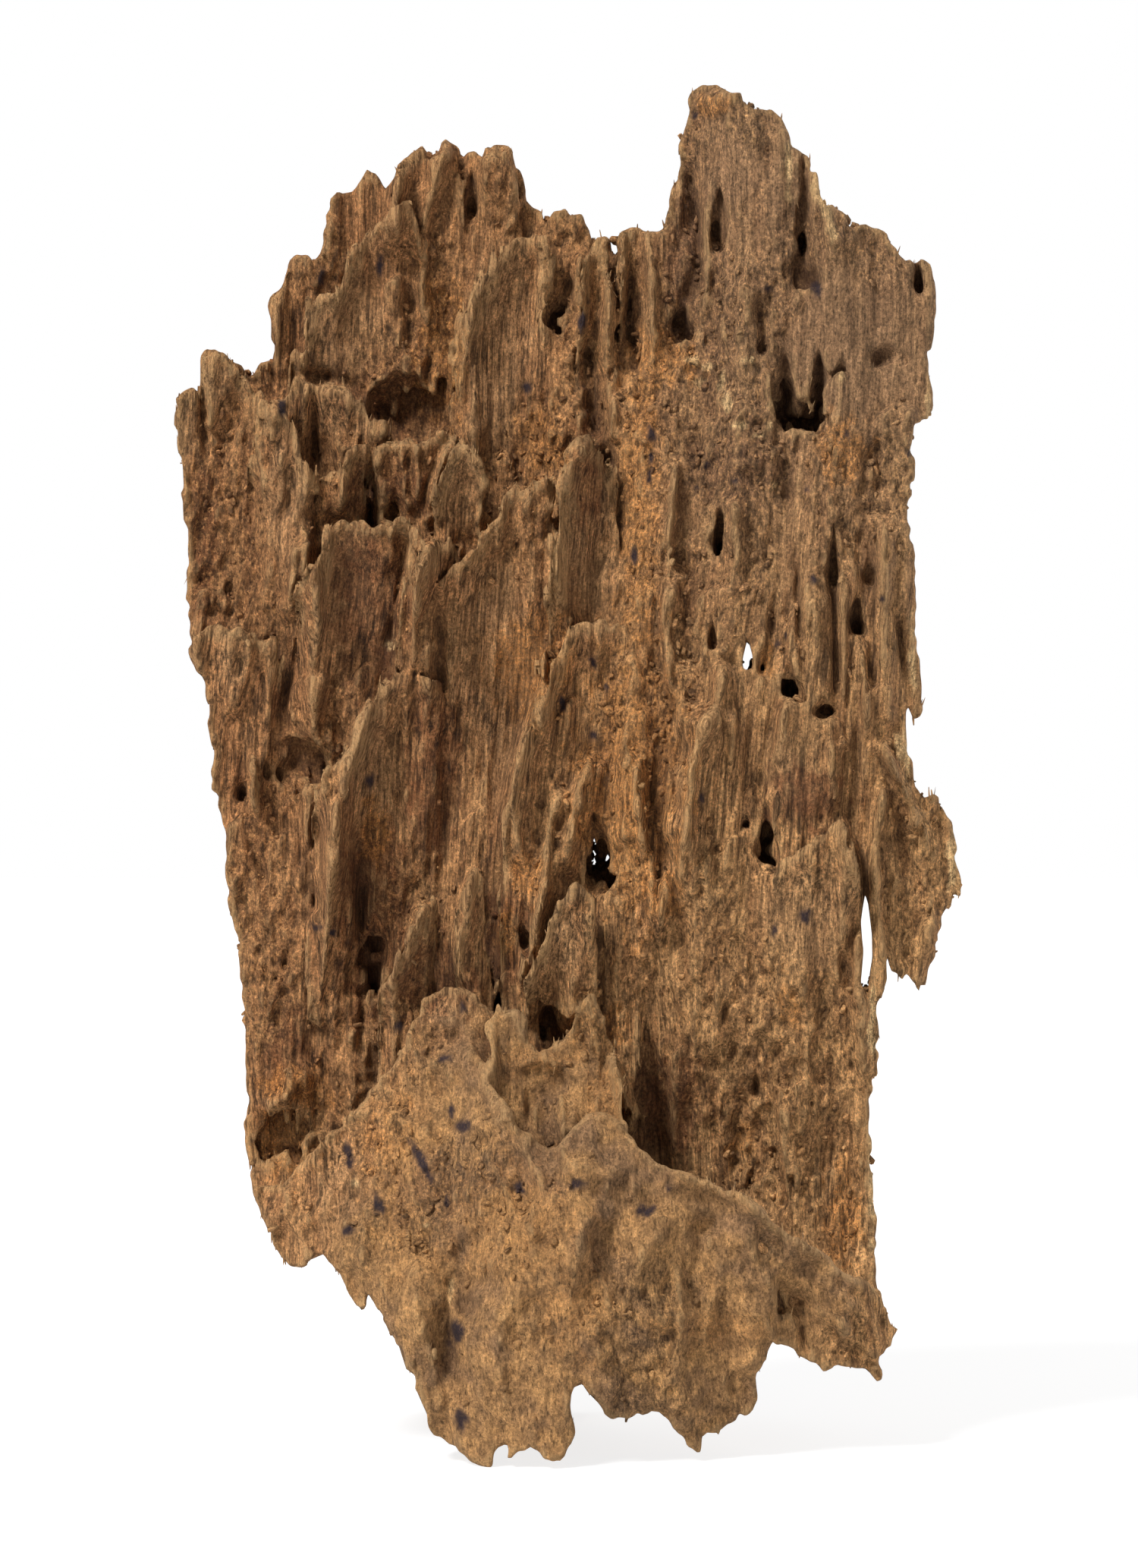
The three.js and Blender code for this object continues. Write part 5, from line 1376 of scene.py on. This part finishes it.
def wood_material():
    """Old resin wood: fibrous brown, golden where it crumbles, with painted shade in its pockets, and spotted
    with resin.
    """
    graph = WoodGraph("agarwood")
    brown = stains_crusts_and_painted_light(graph, ground_colour(graph))
    brown = crest_hollow_and_resin_colour(graph, grained_colour(graph, brown))
    grains = graph.plus(graph.speck, graph.times(graph.grit, graph.span(graph.crumbly, 0, 1, 0.5, 2.2)))
    fuzzy = graph.node("Bump", {"Strength": 1.0, "Distance": 0.0013, "Height": grains}).outputs[0]
    fibrous = graph.times(graph.fibres, graph.straight)
    entries = {"Strength": 1.0, "Distance": 0.002, "Height": fibrous, "Normal": fuzzy}
    rough = graph.node("Bump", entries).outputs[0]
    surface = {"Base Color": brown, "Normal": rough, "Roughness": 0.85, "Specular IOR Level": 0.25}
    for name, value in surface.items():
        graph.link(value, graph.shader.inputs[name])
    return graph.material


def dressed(name, points, faces, values, material):
    """A piece of the wood, with what the material reads."""
    piece = mesh_object(name, points, faces)
    for layer_name, entries in values.items():
        layer = piece.data.attributes.new(layer_name, "FLOAT", "POINT")
        layer.data.foreach_set("value", entries.astype(np.float32))
    piece.data.materials.append(material)
    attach(piece, "root")
    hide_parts("agarwood")
    return piece


def chosen(rng, weights, count):
    """Numbers of points drawn without repeats, each as likely as its weight."""
    keys = rng.random(len(weights)) ** (1 / np.maximum(weights, 1e-9))
    return np.argsort(keys)[-count:]


def scaled(vectors, sizes):
    return vectors * sizes[:, None]


def unit(vectors):
    return vectors / np.linalg.norm(vectors, axis=1, keepdims=True)


def bit_faces(rings, sides):
    """Faces of one bit made of rings of points between two end points, for rings * sides + 2 points."""
    faces = []
    for side in range(sides):
        after = (side + 1) % sides
        faces.append((rings * sides, after, side))
        last = (rings - 1) * sides
        faces.append((rings * sides + 1, last + side, last + after))
        for ring in range(rings - 1):
            low, high = ring * sides, (ring + 1) * sides
            faces.append((low + side, low + after, high + after))
            faces.append((low + side, high + after, high + side))
    return np.array(faces)


def bits(rng, starts, directions, lengths, widths, rings, rough, bend):
    """Points and faces of many small closed bodies at once."""
    count = len(starts)
    across = unit(np.cross(directions, rng.normal(size=(count, 3))))
    other = np.cross(directions, across)

    def middle(share):
        return starts + scaled(directions, lengths * share) + scaled(across, bend * lengths * share**2)

    places = []
    for share, wide in rings:
        for angle in np.arange(BIT_SIDES) * 2 * math.pi / BIT_SIDES:
            size = widths * wide * (1 + rough * rng.uniform(-1, 1, count))
            off = math.cos(angle) * across + 0.7 * math.sin(angle) * other
            places.append(middle(share) + scaled(off, size) + scaled(directions, rough * 0.3 * size))
    places += [middle(rings[0][0] - BIT_END), middle(rings[-1][0] + BIT_END)]
    points = np.stack(places, axis=1)
    offsets = np.arange(count)[:, None, None] * points.shape[1]
    return points.reshape(-1, 3), (bit_faces(len(rings), BIT_SIDES) + offsets).reshape(-1, 3)


def dressed_bits(name, made, values, material):
    """A piece made of many bits, from what the material reads at the place of each."""
    points, faces = made
    own = {layer: np.repeat(entries, len(points) // len(entries)) for layer, entries in values.items()}
    dressed(name, points, faces, own, material)


def add_splinters(rng, points, normals, values, favour, material):
    """Loose fibres that stand along the edges."""
    sharp = ramp(0.44 - values["close"], 0.12) ** 2
    steep = np.clip(1.2 - 1.6 * np.abs(normals[:, 2]), 0.05, 1) * np.clip(points[:, 2] / 40, 0.2, 1)
    picks = chosen(rng, (sharp + 0.02) * favour * steep, SPLINTERS)
    lengths = 1.2 + 3.6 * rng.random(SPLINTERS) ** 3
    upward = np.where(rng.random(SPLINTERS) < 0.35, -1.0, 1.0)[:, None] * (0, 0, 1) + (0.07, 0, 0)
    directions = unit(upward + 0.22 * normals[picks] + 0.1 * rng.normal(size=(SPLINTERS, 3)))
    starts = points[picks] - 0.25 * normals[picks] - scaled(directions, 0.55 * lengths)
    widths = 0.14 + 0.2 * rng.random(SPLINTERS)
    bend = 0.03 * rng.normal(size=SPLINTERS)
    made = bits(rng, starts, directions, lengths, widths, SPLINTER_RINGS, 0.2, bend)
    own = {name: entries[picks] for name, entries in values.items()}
    # The splinters take the pale crest colour and none of the painted shade.
    own["close"] = np.clip(own["close"], 0, 0.42)
    dressed_bits("agarwood_fibres", made, own, material)


def add_crumbs(rng, points, normals, values, favour, material):
    """Crumbs that lie in the hollows and on the ledges."""
    ledge = ramp(normals[:, 2] + 0.25)
    loose = (0.1 + values["crumb"] + values["orange"]) * np.clip((values["close"] - 0.46) / 0.1, 0.05, 1)
    picks = chosen(rng, loose * (0.15 + ledge) * favour * (1 - 0.8 * values["smooth"]), CRUMBS)
    sizes = 0.3 + 0.75 * rng.random(CRUMBS) ** 2.5
    directions = unit(rng.normal(size=(CRUMBS, 3)) * (0.5, 0.5, 1))
    lengths = sizes * 2 * (1 + rng.random(CRUMBS))
    starts = points[picks] + scaled(normals[picks], 0.2 * sizes) - scaled(directions, 0.5 * lengths)
    made = bits(rng, starts, directions, lengths, sizes, CRUMB_RINGS, 0.45, 0)
    own = {name: entries[picks] for name, entries in values.items()}
    # The crumbs take a little less of the painted shade of the hollows they lie in.
    own["close"] = 0.9 * own["close"]
    own["grain"] = own["grain"] + rng.uniform(-9, 9, CRUMBS)
    dressed_bits("agarwood_crumbs", made, own, material)


def make_wood():
    """The body of the wood, in closed pieces one above the other, and the bits on it."""
    coarse = 1
    axes, front, field = wood_field([(first, last, step * coarse) for first, last, step in SPANS])
    points, quads = largest_part(*surface_net(axes, field))
    whole = mesh_object("whole", seen(points), quads)
    behind = smooth(ramp(points[:, 2] - 6, 20))
    thin = thinned(whole, KEPT_TRIANGLES / coarse, 0.25 + 0.75 * behind)
    triangles = read(thin.loops, "vertex_index", kind=np.int32)
    both = (read(thin.vertices, "co", 3) / MM, read(thin.vertex_normals, "vector", 3))
    rows = np.concatenate(both, axis=1).astype(np.float64)
    bpy.data.meshes.remove(thin)
    for height in CUT_HEIGHTS:
        rows, triangles = sliced(rows, triangles, height)
    points, normals = rows[:, :3], rows[:, 3:]
    values = surface_values(axes, front, field, in_front_view(points))
    material = wood_material()
    for number, (used, faces) in enumerate(split_by_height(points, triangles, CUT_HEIGHTS)):
        own = {name: entries[used] for name, entries in values.items()}
        piece = dressed(f"agarwood_body_{number + 1}", points[used], faces, own, material)
        piece.data.normals_split_custom_set_from_vertices(normals[used].tolist())
    rng = np.random.default_rng(17)
    favour = np.clip((30 - points[:, 1]) / 30, 0.15, 1) * ramp(points[:, 2] - 5, 5)
    add_splinters(rng, points, normals, values, favour, material)
    add_crumbs(rng, points, normals, values, favour, material)


add_camera()
add_surroundings()
add_floor()
make_wood()
